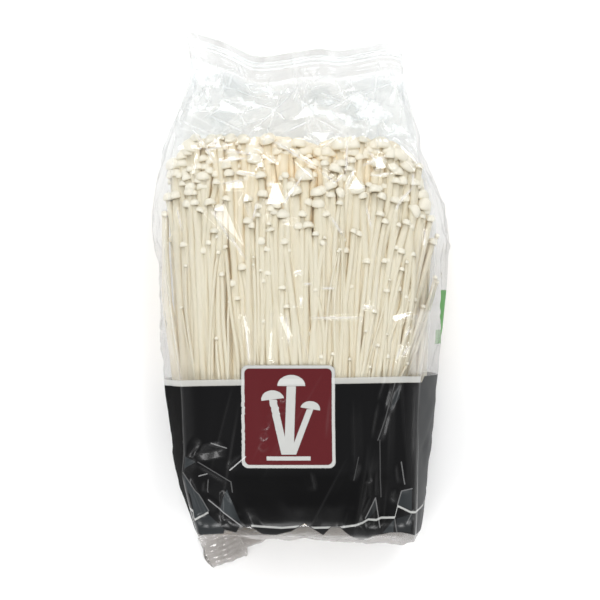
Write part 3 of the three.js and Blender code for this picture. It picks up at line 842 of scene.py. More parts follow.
# The rows stand closer together where the film runs steeply, at the foot's end and in the slack: they are
# evenly spaced along the profile, with its height counted half.
fine_y = np.linspace(STATIONS[0, 0], STATIONS[-1, 0], 4000)
fine_steps = np.hypot(np.diff(fine_y), 0.5 * np.diff(along_stations(fine_y)[:, 4]))
fine_run = np.concatenate([[0], np.cumsum(fine_steps)])
film_y = np.interp(np.linspace(0, fine_run[-1], FILM_ROWS), fine_run, fine_y)
film_stations = along_stations(film_y)
row_y = film_y[:, None]
print("film stations", film_stations.shape)

# %% [markdown]
# ## The film: its folds
# Each fold is a straight ridge, or a valley where its height is negative: its two ends in x and y, its
# height, its half-width, and how far to one side the ridge lies, from -1 to 1. Across it the film rises
# straight to the ridge and falls straight from it, and along it the height tapers to nothing at both ends,
# so that a fold is made of flat facets, as in crumpled film. Along its ridges the finish paints thin white
# lines, as painted highlights.

# %% Film folds
def by_a_line(x, y, x1, y1, x2, y2):
    """How far each point lies to the right of the line between two ends, in millimetres, and a taper: 1 along
    the line's middle, falling straight to 0 at both ends."""
    dx, dy = x2 - x1, y2 - y1
    length = math.hypot(dx, dy)
    along = ((x - x1) * dx + (y - y1) * dy) / length**2
    away = ((x - x1) * dy - (y - y1) * dx) / length
    return away, np.clip(np.minimum(along, 1 - along) * 3.5, 0, 1)


def folded(x, y, folds):
    """The sum of the folds at each point: each is a tent across its line, higher to one side by its skew."""
    total = np.zeros(np.broadcast(x, y).shape)
    for *ends, height, width, skew in folds:
        away, taper = by_a_line(x, y, *ends)
        across = away / width
        tent = np.minimum((1 + across) / (1 + skew), (1 - across) / (1 - skew))
        total += height * np.clip(tent, 0, 1) * taper
    return total


def ridge_lines(x, y, folds, width):
    """How near each point lies to the nearest ridge: 1 on it, falling to 0 as a bell curve of this width,
    and tapered at the fold's ends."""
    most = np.zeros(np.broadcast(x, y).shape)
    for *ends, _, wide, skew in folds:
        away, taper = by_a_line(x, y, *ends)
        most = np.maximum(most, np.exp(-(((away - skew * wide) / width) ** 2)) * taper)
    return most


print("fold shapes ready")

# %% [markdown]
# Most folds are small and lie anyhow, so they are scattered: each field of them has its place, its size, the
# way it mostly runs, and its own random numbers.

# %% Random folds
def scattered_folds(count, left, right, low, high, length, height, width, lean, spread, seed):
    """Random folds in a rectangle: lengths, heights and widths vary by half about the given ones, and the
    direction is lean degrees from +X, give or take spread."""
    draw = np.random.default_rng(seed)
    x, y = draw.uniform(left, right, count), draw.uniform(low, high, count)
    angle = np.radians(lean + spread * draw.uniform(-1, 1, count))
    half = 0.5 * length * draw.uniform(0.5, 1.5, count)
    tall = height * draw.uniform(0.5, 1.5, count) * draw.choice([-1, 1], count)
    wide = width * draw.uniform(0.5, 1.5, count)
    return np.stack([x - half * np.cos(angle), y - half * np.sin(angle),
                     x + half * np.cos(angle), y + half * np.sin(angle), tall, wide,
                     draw.uniform(-0.7, 0.7, count)], -1)


# Random folds: how many, left, right, low, high, length, height, half-width, lean, spread, seed. The first
# six lie over the slack, the next two over the caps and the stems, and the last three in the foot.
SCATTERED = [
    (14, -46, 44, 62, 88, 34, 1.4, 6, 0, 90, 1), (12, -44, 42, 60, 90, 15, 0.6, 2.4, 90, 90, 2),
    (14, 18, 34, 64, 80, 9, 0.45, 1.4, 120, 60, 3), (8, -38, -26, 74, 88, 9, 0.45, 1.4, 60, 60, 31),
    (8, 4, 20, 72, 86, 8, 0.4, 1.3, 30, 90, 32), (14, -40, 38, 83, 92, 7, 0.35, 1.3, 90, 50, 33),
    (8, -46, 46, 34, 60, 16, 0.35, 1.3, 60, 90, 4), (6, -46, 46, -20, 36, 14, 0.25, 1.2, 90, 25, 5),
    (7, 10, 42, -80, -36, 44, 0.25, 3, 86, 10, 6), (5, -40, 10, -80, -40, 36, 0.25, 4, 80, 40, 7),
    (6, -40, 42, -92, -84, 14, 0.4, 4, 90, 40, 9),
]
# At the foot's end the film stands upright, so there a fold's ends are given in x and z.
END_FOLDS = np.concatenate([
    padded(7, 0, [
        (-40, 37, -19, 5, 0.7, 5, 0.3), (40, 37, 21, 5, 0.6, 5, -0.3), (-31, 37, -12, 9, -0.8, 3),
        (31, 37, 13, 9, -0.9, 3), (-8, 37, -3, 6, 0.4, 3, 0.4), (11, 37, 7, 6, -0.4, 3, -0.4),
    ]),
    scattered_folds(14, -40, 40, 4, 36, 20, 0.35, 2.4, 80, 60, 10),
])
print("random folds:", sum(row[0] for row in SCATTERED))

# %% [markdown]
# The creases that make the look of this bag are listed one by one: over the slack, over the caps and in
# the foot.

# %% Hand-laid creases
# The two ends in x and y, the height, the half-width, and the skew where there is one.
HAND_LAID = padded(7, 0, [
    (-41.1, 90, -39.3, 65.6, 0.49, 1.48, 0.5), (-31.9, 76.7, -18.1, 76.7, 0.5, 1.48, 0.4),
    (-18.1, 76.7, -9.3, 73.3, 0.38, 1.11, -0.3), (-9.3, 73.3, -5.2, 67.8, 0.31, 0.93),
    (-23.7, 74.1, -19.3, 64.8, -0.31, 0.93, 0.3), (-30, 86.3, -29.6, 76.7, 0.38, 1.11),
    (1.5, 63.3, 16.7, 63, 0.6, 1.67, 0.7), (1.9, 63.7, 8.1, 57, 0.37, 1.11, 0.4),
    (15.9, 63.3, 7.8, 57, 0.37, 1.11, -0.4), (-6.3, 62.6, 6.3, 68.9, 0.31, 0.93),
    (5.6, 68.9, 16.3, 62.6, 0.31, 0.93, 0.2), (2.6, 75.2, 9.6, 75.2, 0.33, 0.93),
    (5.9, 78.5, 5.9, 71.9, 0.33, 0.93), (20.4, 67.8, 31.1, 75.9, 0.53, 1.48, 0.4),
    (19.3, 75.2, 31.1, 66.3, -0.44, 1.3, -0.3), (25.2, 78.1, 26.3, 64.1, 0.4, 1.11),
    (-25.2, 89.3, -27.4, 80.4, 0.49, 1.48, 0.5), (-14.1, 88.5, -11.1, 77.4, 0.56, 1.85, -0.5),
    (0, 87, -3, 75.9, 0.49, 1.48), (14.1, 88.5, 18.5, 75.9, 0.61, 1.85, 0.4),
    (30.4, 90.7, 28.1, 77.4, 0.53, 1.48), (35.6, 87.8, 40.7, 70, 0.44, 1.3, 0.5),
    (-35.2, 70, -19.3, 62.6, 0.39, 1.3), (11.1, 73, 22.2, 80.4, 0.49, 1.48, 0.2),
    (41.4, -10, 39.2, -13.7, 0.35, 0.9, 0.4), (40.7, -16.7, 38.5, -20.4, 0.35, 0.9, 0.4),
    (38.1, -16.3, 35.9, -22.6, 0.35, 0.9, 0.4), (-40.7, 65.6, -34.8, 58.1, 0.53, 1.48, 0.5),
    (-35.2, 58.9, -31.1, 51.1, 0.47, 1.3, 0.5), (-32.2, 51.5, -18.1, 53, 0.35, 0.96, -0.3),
    (-29.3, 56.3, -15.2, 54.1, 0.27, 0.74), (-36.3, 57.4, -27.8, 59.6, 0.8, 2.22, 0.75),
    (-28.9, 41.9, -20, 43.3, 0.73, 2.04, -0.75), (-32.2, 35.2, -24.4, 22.6, 0.73, 2.04, 0.6),
    (-25.9, 25.6, -19.3, 15.6, 0.6, 1.67, 0.5), (-12.6, 61.9, 8.9, 47.8, 0.51, 1.41, 0.3),
    (7.8, 48.5, 14.1, 43.7, 0.45, 1.26, 0.4), (13, 43.7, 17, 47.4, 0.4, 1.11),
    (16.5, 46.3, 17, 63.3, 0.43, 1.19, 0.5), (-8.5, 45.6, -9.3, 34.8, 0.73, 2.04, 0.7),
    (1.5, 47.4, -2.6, 41.1, 0.35, 0.96), (-2.6, 41.5, -6.3, 34.4, 0.35, 0.96, 0.3),
    (22.6, 50, 33, 54.4, 0.32, 0.89), (25.2, 56.3, 30.7, 47.8, 0.32, 0.89),
    (21.1, 49.3, 17.4, 40.7, 0.53, 1.48, 0.5), (17, 41.1, 24.8, 40.7, 0.6, 1.67, -0.7),
    (25.9, 46.3, 34.1, 47.4, 0.29, 0.81), (41.9, 48.1, 41.9, 41.9, 0.35, 0.96),
    (42.2, 42.6, 36.3, 35.9, 0.35, 0.96), (36.7, 36.7, 35.6, 33.3, 0.32, 0.89),
    (36.7, 58.1, 48.9, 41.9, 0.73, 2.04, -0.6), (40, 58.9, 48.1, 47, 0.4, 1.11, 0.3),
    (-2.6, 10.7, 1.1, 10.7, 0.4, 1.11, 0.5), (1.1, 6.3, 4.4, 6.3, 0.29, 0.81),
    (0.4, 2.2, 0.4, -2.2, 0.33, 0.93), (7.4, 4.8, 13.3, 4.8, 0.21, 0.59),
    (22.6, -1.9, 27.4, -1.9, 0.43, 1.19, 0.4), (35.2, -5.6, 41.5, -5.6, 0.37, 1.04),
    (46.3, 27.8, 46.3, 19.3, 0.27, 0.74), (-20.7, -3.3, -18.5, -24.8, 0.29, 0.96),
    (-5.2, -4.1, -4.1, -17.4, 0.38, 1.26), (2.6, -6.3, 24.1, -6.3, 0.2, 0.59),
    (-45.9, 35.6, -43.7, 25.6, 0.27, 0.89), (11.1, 32.2, 16.3, 24.1, 0.29, 0.89, 0.3),
    (-15.6, 37.4, -17.8, 29.3, 0.27, 0.81), (24.4, 35.9, 26.7, 25.6, 0.32, 0.96),
    (-25.2, 48.5, -14.1, 46.3, 0.32, 0.96, 0.4), (-39.5, -56.8, -27, -54.6, 0.95, 3.2),
    (-42.5, -58, -37.5, -51, 0.7, 2.2, 0.3), (35.8, -30, 32.6, -42, 0.6, 2, 0.3),
    (32, -40, 29.5, -52, 0.5, 2, -0.3),
])
# The two ends of small creases in the foot, which are of three kinds in turn.
FOOT_KINDS = [(0.22, 1.6, 0.5), (0.3, 2.4, -0.4), (0.18, 2, 0.6)]
FOOT_LINES = [
    (-38.5, -59.8, -26.3, -67), (-35.5, -73.6, -30.7, -77.5), (-30.7, -77.5, -22.9, -83.6),
    (-33.5, -52.5, -27.8, -54.4), (-26.6, -62.5, -20.7, -57.5), (36.9, -60.3, 37.7, -67.7),
    (29.2, -62.5, 28.9, -72.5), (21.1, -59.6, 19.2, -66.6), (32.9, -28.5, 30, -37.4),
    (30, -37.4, 27.4, -51.4), (36.6, -28.5, 32.6, -38.5), (27.8, -72.5, 24.1, -80.3),
    (27.8, -72.5, 28.5, -84.7), (35.5, -75.1, 36.3, -69.9), (36.3, -69.9, 41.4, -69.2),
    (-42.4, -64, -36.8, -78.1), (-41.8, -61, -38.5, -59.6), (-34.4, -67, -35, -71),
    (12.2, -33.7, 10.4, -51.4), (3, -63.3, 4.8, -70.7), (23.7, -66.2, 26.6, -65.5),
]
foot_folds = [(*ends, *FOOT_KINDS[k % 3]) for k, ends in enumerate(FOOT_LINES)]
HAND_LAID = np.concatenate([HAND_LAID, foot_folds])
folds = np.concatenate([HAND_LAID, *(scattered_folds(*row) for row in SCATTERED)])
print("folds:", len(folds))

# %% [markdown]
# Panes are where the film is taut and flat between creases, so that a whole patch of it flashes at once. To
# flash, a pane has to lean just so: halfway between the eye and a softbox.

# %% Taut panes
LAMP_SIN = math.sin(math.radians(39.5))  # of how far off the top the softboxes' middle stands
FOOT_TOP, SHARP_RIM, SOFT_RIM = -28, 0.7, 1.9
# Middle in x and y, half-length, half-width, widening, direction, the softbox's direction, and the share of
# the lean where it isn't whole.
PANES = padded(8, 1, [
    (-32.2, 58.5, 3.3, 2, 0.7, 10, 100), (-24.3, 42.9, 4.1, 2.1, 0.2, 9, 260),
    (-25.6, 27, 9.8, 2.5, -0.85, -56, 20), (-8.9, 39.6, 4.9, 3.4, -0.6, 95, 100),
    (8.2, 61, 2.9, 3.3, -0.85, -90, 260), (20.7, 44.1, 3.6, 2.5, -0.9, 92, 60),
    (41.5, 53, 7, 1.3, -0.4, -48, 60), (48.1, 45.6, 3.6, 1.4, -0.5, -80, 20),
    (-0.7, 10.7, 1.6, 1.1, 0, 10, 100), (0.4, 0, 2, 1.1, 0, 80, 60), (25, -1.9, 1.9, 1.4, 0.5, 20, 140),
    (38, -5.8, 4.2, 1.7, -0.5, 12, 100), (46.3, 23.3, 3.1, 0.9, 0, 88, 180),
    (16.7, 54.4, 7, 1, 0.5, 86, 180), (10.7, 46.3, 3.3, 0.9, 0, -40, 60),
    (-19.6, -14, 9.5, 1.3, -0.2, -82, 20), (-5.6, -9.6, 5.2, 1.9, 0.1, -66, 20),
    (-3, 39.6, 2.9, 0.9, 0, 60, 140), (-25.2, 73, 5.9, 2, -0.6, -12, 100),
    (0.4, 70, 4.4, 2.2, 0.6, 30, 140), (26.3, 72.2, 4, 1.8, 0.4, 58, 60),
    (31.9, 65.6, 3.6, 1.4, -0.4, 120, 20), (-35.2, 77.4, 3.3, 1.4, 0.5, 100, 180),
    (14.8, 70, 2.9, 1.6, 0.6, -20, 260), (-14.1, 64.8, 4, 1.3, -0.5, 5, 260),
    (35.6, 77.4, 4, 1.4, 0, 70, 20), (18.5, 81.9, 3.6, 1.3, 0.4, 10, 100),
    (-31.5, 83, 3.3, 1.4, -0.5, 60, 140), (-45.2, 67.8, 3.6, 1.3, 0.4, 75, 180),
    (34.1, 87, 2.9, 1.2, 0, 60, 60), (-11.1, 80.4, 3.3, 1.3, 0.5, -25, 100),
    (4.4, 77.4, 2.5, 1.2, -0.6, 40, 140), (-39.6, -73.3, 7.2, 1.7, 0.3, -71, 220, 0.5),
    (-27, -76.2, 5.6, 2.4, 0.7, -72, 300, 0.5), (-10.6, -16.5, 6, 1.1, -0.3, 86, 180),
    (40.1, -17.5, 3.4, 1, -0.3, 66, 340), (37, -19.5, 3.4, 1, 0.3, 68, 340),
    (40.8, -10.8, 2, 0.9, 0, 56, 340), (29.7, 51.3, 3.4, 2.2, -0.6, 95, 100),
    (31, 47, 4.2, 1.1, 0.3, 8, 260), (-12.2, 31.2, 1.7, 1.1, 0, 80, 100),
    (-4.2, 28.9, 2.9, 1.2, 0, 8, 260), (-20.1, 38.2, 2.5, 1.5, 0.6, -95, 60),
    (14, -6.2, 8.8, 0.75, 0.2, 2, 260),
])


def tilted_panes(x, y, z, panes):
    """The surface z with flat panes set into it. A pane is a trapezoid: its middle, half-length, half-width,
    how much wider it is at its far end, and the direction it runs in. Inside it the film is a plane that
    leans halfway between the eye and the softbox that stands in the pane's own direction, so that it mirrors
    that softbox, and its lowest edge lies on the film. The last number is how much of that lean it has: with
    less of it the pane only catches the softbox's rim, and looks grey."""
    for cx, cy, half_length, half_width, widening, runs, falls, part in panes:
        run, fall = math.radians(runs), math.radians(falls)
        along = ((x - cx) * math.cos(run) + (y - cy) * math.sin(run)) / half_length
        across = (y - cy) * math.cos(run) - (x - cx) * math.sin(run)
        room = half_width * np.clip(1 + widening * along, 0.15, 2) - np.abs(across)
        room = np.minimum(room, (1 - np.abs(along)) * half_length)
        inside = smooth(room / (SHARP_RIM if cy > FOOT_TOP else SOFT_RIM) + 0.3)
        near = np.exp(-(((x - cx) ** 2 + (y - cy) ** 2) / half_width**2))
        base_height = float((z * near).sum() / near.sum())
        reach = abs(math.cos(fall - run)) * half_length + abs(math.sin(fall - run)) * half_width
        to_eye = np.array([-cx, TOWARDS_CAPS - cy, CAMERA_HEIGHT - base_height])
        to_lamp = np.array([LAMP_SIN * math.cos(fall), LAMP_SIN * math.sin(fall), math.sqrt(1 - LAMP_SIN**2)])
        half_way = to_eye / np.linalg.norm(to_eye) + to_lamp
        steep_x, steep_y = part * half_way[:2] / half_way[2]
        drop = steep_x * (x - cx) + steep_y * (y - cy)
        plane = base_height + math.hypot(steep_x, steep_y) * 0.7 * reach - drop
        z = z + (plane - z) * inside
    return z


print("panes:", len(PANES))

# %% [markdown]
# ## The film over the mushrooms
# The front panel isn't placed by the stations alone. It is a tight skin: the lowest surface without sharp
# bends that the caps and stems can't poke through, found by averaging each point with its neighbours again
# and again and lifting it wherever a mushroom is higher.

# %% Film over the mushrooms
NOTHING = -1e3  # the height where no mushroom lies
CLEARANCE, SOFTEST_RISE = 0.45, 2.6


def bunch_tops(pieces, x, y):
    """The highest point of the pieces over each cell of the film's grid, spread to the neighbouring cells."""
    tops = np.full(x.shape, NOTHING)
    rows, columns = x.shape
    for piece in pieces:
        co = np.empty(3 * len(piece.data.vertices), np.float32)
        piece.data.vertices.foreach_get("co", co)
        px, py, pz = co.reshape(-1, 3).T / MM
        row = np.rint(np.interp(py, y[:, 0], np.arange(rows))).astype(int)
        ok = (row > 0) & (row < rows - 1) & (pz > 20)
        row, px, pz = row[ok], px[ok], pz[ok]
        column = np.rint((px - x[row, 0]) / (x[row, -1] - x[row, 0]) * (columns - 1)).astype(int)
        ok = (column >= 0) & (column < columns)
        np.maximum.at(tops, (row[ok], column[ok]), pz[ok])
    for _ in range(2):
        spread = tops.copy()
        for shift, axis in ((1, 0), (-1, 0), (1, 1), (-1, 1)):
            spread = np.maximum(spread, np.roll(tops, shift, axis))
        tops = spread
    return tops


def settled(z, tops, rounds):
    """The skin over the tops: each round every inner point becomes the mean of its four neighbours, and is
    then lifted to the tops where they are higher."""
    for _ in range(rounds):
        z[1:-1, 1:-1] = 0.25 * (z[:-2, 1:-1] + z[2:, 1:-1] + z[1:-1, :-2] + z[1:-1, 2:])
        np.maximum(z, tops, out=z)
    return z


middle, half, bulge, low, high, crown, slant = film_stations.T[..., None]
across = np.linspace(-1, 1, FRONT_COLUMNS)[None, :]
fold_in = np.interp(film_y, FOLD_AT, FOLD_IN)[:, None]
front_x = middle + half * across + fold_in * smooth((-across - 0.4) / 0.6)
front_y = np.broadcast_to(row_y, front_x.shape)
skin_start = high + crown * np.cos(across * math.pi / 2) - 1.6 * smooth((1 - np.abs(across)) / 0.1)
front_tops = bunch_tops([mushrooms_front, base], front_x, front_y) + CLEARANCE
front_tops = np.where(np.abs(across) < 0.99, np.minimum(front_tops, skin_start + SOFTEST_RISE), NOTHING)
front_skin = settled(skin_start.copy(), front_tops, 60)
front_skin = settled(front_skin, NOTHING, 10)
print("skin stands", round(float((front_skin - skin_start).max()), 2), "mm over its start at most")

# %% [markdown]
# The front panel gets its folds and panes on top of the skin. Where it lies on a mushroom a fold can only
# rise from it. Where its creases and its folded edges lie is kept for the finish, which paints highlights
# along them.

# %% Front panel
RIDGE_WIDTH, FOLD_HIGHLIGHT_WIDTH, FRONT_HALF = 0.36, 0.5, 46
edge_calm = smooth((1 - np.abs(across)) / 0.06)
weld_calm = 1 - smooth((row_y - 84) / 5)
relief = folded(front_x, front_y, folds)
front_z = front_skin + np.where(front_skin - front_tops < 0.4, np.abs(relief), relief) * edge_calm * weld_calm
front_z = tilted_panes(front_x, front_y, front_z, PANES)
in_slack = smooth((front_y - 58) / 8)
in_foot = smooth((-front_y - 28) / 4)
# painted highlight: how near each point lies to a crease's ridge, where the finish paints a white line
front_crease_highlight = ridge_lines(front_x, front_y, HAND_LAID, RIDGE_WIDTH) * (1 - 0.8 * in_foot)
faint = (0.25 + 0.35 * in_slack - 0.15 * in_foot) * ridge_lines(front_x, front_y, folds, RIDGE_WIDTH)
front_crease_highlight = np.maximum(front_crease_highlight, faint) * edge_calm
# painted highlight: a bell curve across each folded edge of the front panel, where a pale line is painted
front_fold_highlight = np.exp(-(((1 - np.abs(across)) * FRONT_HALF / FOLD_HIGHLIGHT_WIDTH) ** 2)) * np.ones_like(front_x)
print("creased share", round(float((front_crease_highlight > 0.3).mean()), 3))

# %% [markdown]
# The sides and the back are simpler: straight runs from one fold of the bag to the next that stand out a
# little and are crumpled at random. Together with the front they make the rows of one tube. The distance
# round it and the place along it go into the UV map, because the print lies on the film and not on the
# mushrooms.

# %% Film tube
# Crumples: how many, left, right, low, high, length, height, half-width, lean and spread.
SIDE_CRUMPLES = (70, -88, 86, 4, 42, 22, 0.9, 3.2, 20, 60)
BACK_CRUMPLES = (70, -44, 44, -86, 88, 24, 0.5, 2.4, 80, 60)
RIGHT_SEED, LEFT_SEED, BACK_SEED = 21, 22, 23
CRIMP_FROM, CRIMP_TO, CRIMP_PITCH = 89, 98.4, 1.9  # the upper weld's ribs


def side_panel(t, fold_x, from_z, to_z, out, flatter, seed):
    """A side panel: from one fold to the other at the same x, standing out by half a sine, and crumpled."""
    x = fold_x + out * np.sin(math.pi * t)
    z = from_z + (to_z - from_z) * t
    crumples = scattered_folds(*SIDE_CRUMPLES, seed)
    return x + flatter * folded(np.broadcast_to(row_y, x.shape), z, crumples), z


def bag_end(x, z, share):
    """How far ahead of its row each point lies: the upper weld's slant, and at the foot's end the upright
    folds, the tucked-in corners and the uneven edge."""
    ahead = slant * slant_at(share)
    upright = smooth((-89.8 - row_y) / 2.0) * smooth((row_y + 96.2) / 0.6)
    ahead = ahead - upright * folded(x, z, END_FOLDS)
    corners = 3.6 * smooth((-share - 0.45) / 0.5) + 2.2 * smooth((share - 0.86) / 0.14)
    ahead = ahead + smooth((-90.5 - row_y) / 4.5) * (corners + 0.7 * np.sin(5.2 * share + 0.8))
    return ahead + smooth((-87.0 - row_y) / 5.0) * np.interp(x, END_AT, END_IN)


def film_surface():
    """The film's grid: rows along the bag and columns round it, with the distance round it as u and the
    place along it as v, for the print."""
    side_t = ((np.arange(SIDE_COLUMNS) + 0.5) / SIDE_COLUMNS)[None, :]
    back_t = ((np.arange(BACK_COLUMNS) + 0.5) / BACK_COLUMNS)[None, :]
    right_fold, left_fold = middle + half, middle - half + fold_in
    calm = (1 - smooth((row_y - 82) / 6)) * smooth((row_y + 93) / 3)
    flatter = calm * (0.35 + 0.65 * smooth((row_y + 40) / 30)) * np.sin(math.pi * side_t) ** 0.5
    right_out = bulge + np.interp(row_y, RIGHT_AT, RIGHT_OUT)
    left_out = np.interp(row_y, LEFT_AT, LEFT_IN) - bulge
    right_x, right_z = side_panel(side_t, right_fold, high, low, right_out, flatter, RIGHT_SEED)
    left_x, left_z = side_panel(side_t, left_fold, low, high, left_out, flatter, LEFT_SEED)
    back_x = right_fold + (left_fold - right_fold) * back_t
    crumples = scattered_folds(*BACK_CRUMPLES, BACK_SEED)
    back_relief = folded(back_x, np.broadcast_to(row_y, back_x.shape), crumples)
    seam = np.exp(-((back_x - 2.0) / 5.0) ** 8)
    back_z = low + (np.abs(back_relief) + 0.35 * (1 - seam)) * calm
    x = np.concatenate([front_x, right_x, back_x, left_x], 1)
    z = np.concatenate([front_z, right_z, back_z, left_z], 1)
    y = row_y + bag_end(x, z, (x - middle) / half)
    crimp = smooth((row_y - CRIMP_FROM) / 1.5) * (1 - smooth((row_y - CRIMP_TO) / 0.6))
    z = z + 0.13 * crimp * np.sin(2 * math.pi * (row_y - CRIMP_FROM) / CRIMP_PITCH)
    z = z + (np.sin(x / 13.0 + 0.6) + 0.45 * np.sin(x / 5.9 + 1.0)) * smooth((row_y - 80) / 12)
    steps = np.hypot(np.diff(x, axis=1, append=x[:, :1]), np.diff(z, axis=1, append=z[:, :1]))
    u = np.cumsum(steps, 1) - steps
    turn = np.broadcast_to(steps.sum(1)[:, None], x.shape)
    u = u - u[:, FRONT_COLUMNS // 2][:, None]
    past_seam = np.arange(x.shape[1])[None, :] >= FRONT_COLUMNS + SIDE_COLUMNS + BACK_COLUMNS // 2
    return x, y, z, u - turn * past_seam, np.broadcast_to(row_y, x.shape), turn


film_x, film_place_y, film_z, film_u, film_v, film_turn = film_surface()
print("round the bag", film_turn.min().round(1), "to", film_turn.max().round(1), "mm")

# %% [markdown]
# Slack film isn't evenly bright. Where it leans away it is painted darker, as painted shade, and where it is
# finely crumpled it is painted whiter, as painted sheen. Both are drawn as soft polygons.

# %% Cloudy patches
# Each patch is a polygon with its corners in x and y, anticlockwise, and its strength.
# Painted shade: darker patches where the slack film leans away.
SLACK_SHADE_PATCHES = [
    ([(-30.6, 80.7), (-28.6, 77.8), (-18.2, 79.1), (-23.7, 85.4), (-29.6, 86.6)], 0.36),
    ([(-33.5, 71.9), (-34.5, 64), (-30.8, 62.4), (-26.4, 66.9), (-23.7, 75.4), (-29.6, 75.8)], 0.34),
    ([(-39.4, 74.3), (-35.7, 76.5), (-31.3, 83.7), (-38.5, 84)], 0.2),
    ([(3, 76.9), (10.8, 72.8), (15.2, 75.8), (10.8, 83.2), (3, 83.2)], 0.28),
    ([(15.8, 71), (20.7, 66.5), (25.3, 68), (20.7, 77.6), (16.7, 75.8)], 0.34),
    ([(29.5, 79.1), (37.4, 78.4), (36, 84.7), (28.6, 85.7)], 0.26),
    ([(-15.8, 63), (-3, 64.3), (4.8, 68.9), (-6.9, 69.9), (-16.8, 65)], 0.09),
    ([(-53.1, 15.2), (-50.5, -25.6), (-46.8, -25.6), (-46.1, 22.7), (-47.2, 48.7), (-52, 45)], 0.1),
    ([(47.6, 11.5), (46.8, -25.6), (51.3, -25.6), (52.4, 11.5), (50.5, 30.1), (46.1, 37.5)], 0.07),
    ([(-46.1, 60.6), (-22.3, 60.6), (-14.1, 78.4), (-23.8, 89.5), (-43.5, 89.5)], 0.12),
    ([(19.3, 59.8), (43.1, 59.8), (40.1, 87.3), (16.7, 87.3)], 0.15),
    ([(-22.3, 61.3), (18.6, 61.3), (16.7, 87.3), (-22.3, 87.3)], 0.02),
]
# Painted sheen: whiter patches where the slack film is finely crumpled.
SLACK_SHEEN_PATCHES = [
    ([(-41.4, 84.7), (-37.5, 80.6), (-32.5, 86.2), (-40.9, 90.3)], 0.5),
    ([(-39.4, 64.6), (-36, 72.4), (-29.3, 77.8), (-36, 76.9), (-40.9, 71.7)], 0.5),
    ([(-18.7, 74.4), (-7.9, 69.3), (-8.9, 72.8), (-18.7, 78), (-28.6, 78.6)], 0.42),
    ([(2.2, 71.3), (10.8, 67.2), (23.6, 64), (21.2, 67.6), (6.9, 73.9), (-1, 76.8)], 0.45),
    ([(21.9, 69.8), (30.5, 62.6), (40.4, 62), (36, 67.6), (27.1, 76.2), (18.7, 80.2)], 0.45),
    ([(-18.6, 82.5), (-4.1, 80.6), (-3.7, 82.1), (-15.6, 86.2), (-26.4, 88.4)], 0.45),
    ([(9.7, 73.2), (13.4, 76.2), (11.1, 79.1), (6.7, 75.8)], 0.4),
]


def patches(x, y, table, soft):
    """The strongest patch at each point. Inside a polygon the distances to the left of all its edges are
    positive, so their smooth steps are multiplied. A few slow waves make the borders uneven."""
    x = x + 0.7 * np.sin(0.9 * y + 0.3 * x) + 0.3 * np.sin(2.3 * y)
    y = y + 0.7 * np.sin(0.8 * x - 0.5 * y) + 0.3 * np.sin(2.7 * x)
    most = np.zeros(x.shape)
    for corners, strength in table:
        inside = np.full(x.shape, strength)
        for (x1, y1), (x2, y2) in zip(corners, corners[1:] + corners[:1]):
            left_of = ((y - y1) * (x2 - x1) - (x - x1) * (y2 - y1)) / math.hypot(x2 - x1, y2 - y1)
            inside = inside * smooth(left_of / soft + 0.5)
        most = np.maximum(most, inside)
    return most


front_slack_shade = patches(front_x, front_y, SLACK_SHADE_PATCHES, 2.2)
front_slack_sheen = patches(front_x, front_y, SLACK_SHEEN_PATCHES, 1.2)
print("smoky share", round(float((front_slack_shade > 0.05).mean()), 3),
      "frosted share", round(float((front_slack_sheen > 0.2).mean()), 3))

# %% [markdown]
# The tube is closed at both ends by strips between its front and the rest. What the finish needs at each
# point goes along as attributes: where it paints highlights along the creases and the folded edges, and
# where it paints shade and sheen in the slack.

# %% Film grid
def closing_strip(front, rest, x):
    """Triangles between two rows of corners that run the same way, with any number of corners in each: the
    corners of both are taken in turn, in the order of their x, so that no triangle is slanted."""
    a = np.maximum.accumulate(x[front])[1:]
    b = np.maximum.accumulate(x[rest])[1:]
    order = np.argsort(np.concatenate([a, b]), kind="stable")
    is_front = order < len(a)
    i = np.cumsum(is_front)
    j = np.cumsum(~is_front)
    third = np.where(is_front, front[i - is_front], rest[j - ~is_front])
    return np.stack([np.where(is_front, third, front[i]), rest[j], np.where(is_front, front[i], third)], -1)


rows, columns = film_x.shape
front_corners = np.arange(FRONT_COLUMNS)
rest_corners = np.concatenate([[0], np.arange(columns - 1, FRONT_COLUMNS - 2, -1)])
low_strip = closing_strip(front_corners, rest_corners, film_x[0])
high_strip = closing_strip(front_corners, rest_corners, film_x[-1])[:, ::-1] + (rows - 1) * columns
film_points = np.stack([film_x, film_place_y, film_z], -1).reshape(-1, 3)
film_faces = grid_faces(rows, columns)
film_closing = np.concatenate([low_strip, high_strip])
film_corners = np.concatenate([film_faces.ravel(), film_closing.ravel()])
film_uv = np.stack([film_u, film_v], -1).reshape(-1, 2)[film_corners] * MM
# The distance round the bag starts at the front's middle and runs both ways, so it jumps at the lap seam at
# the back. A face there counts on past the jump instead.
face_uv = film_uv[:film_faces.size].reshape(-1, 4, 2)
behind = face_uv[..., 0].max(1, keepdims=True) - face_uv[..., 0] > 0.1
face_uv[..., 0] += behind * (film_turn.ravel() * MM)[film_faces]
on_front = dict(crease=front_crease_highlight, edge=front_fold_highlight, slack_shade=front_slack_shade, slack_sheen=front_slack_sheen)
others = ((0, 0), (0, columns - FRONT_COLUMNS))
measures = {name: np.pad(numbers, others).ravel() for name, numbers in on_front.items()}
film = mesh_object("bag_film_skin", film_points, film_faces, film_closing, film_uv, measures)

# %% [markdown]
# The lower weld is folded under the bag, and one corner of it sticks out at the lower left: two films
# welded to a flat strip, pressed between ribbed bars. The strip is a thin closed slab that is swept along
# its length, with the ribs as a sine across it.

# %% Lower weld
FLAP_FROM, FLAP_TO = (-34.5, -106.4), (6.0, -90.5)  # its long outer edge
FLAP_WIDTH, FLAP_THICK = 13.5, 0.35


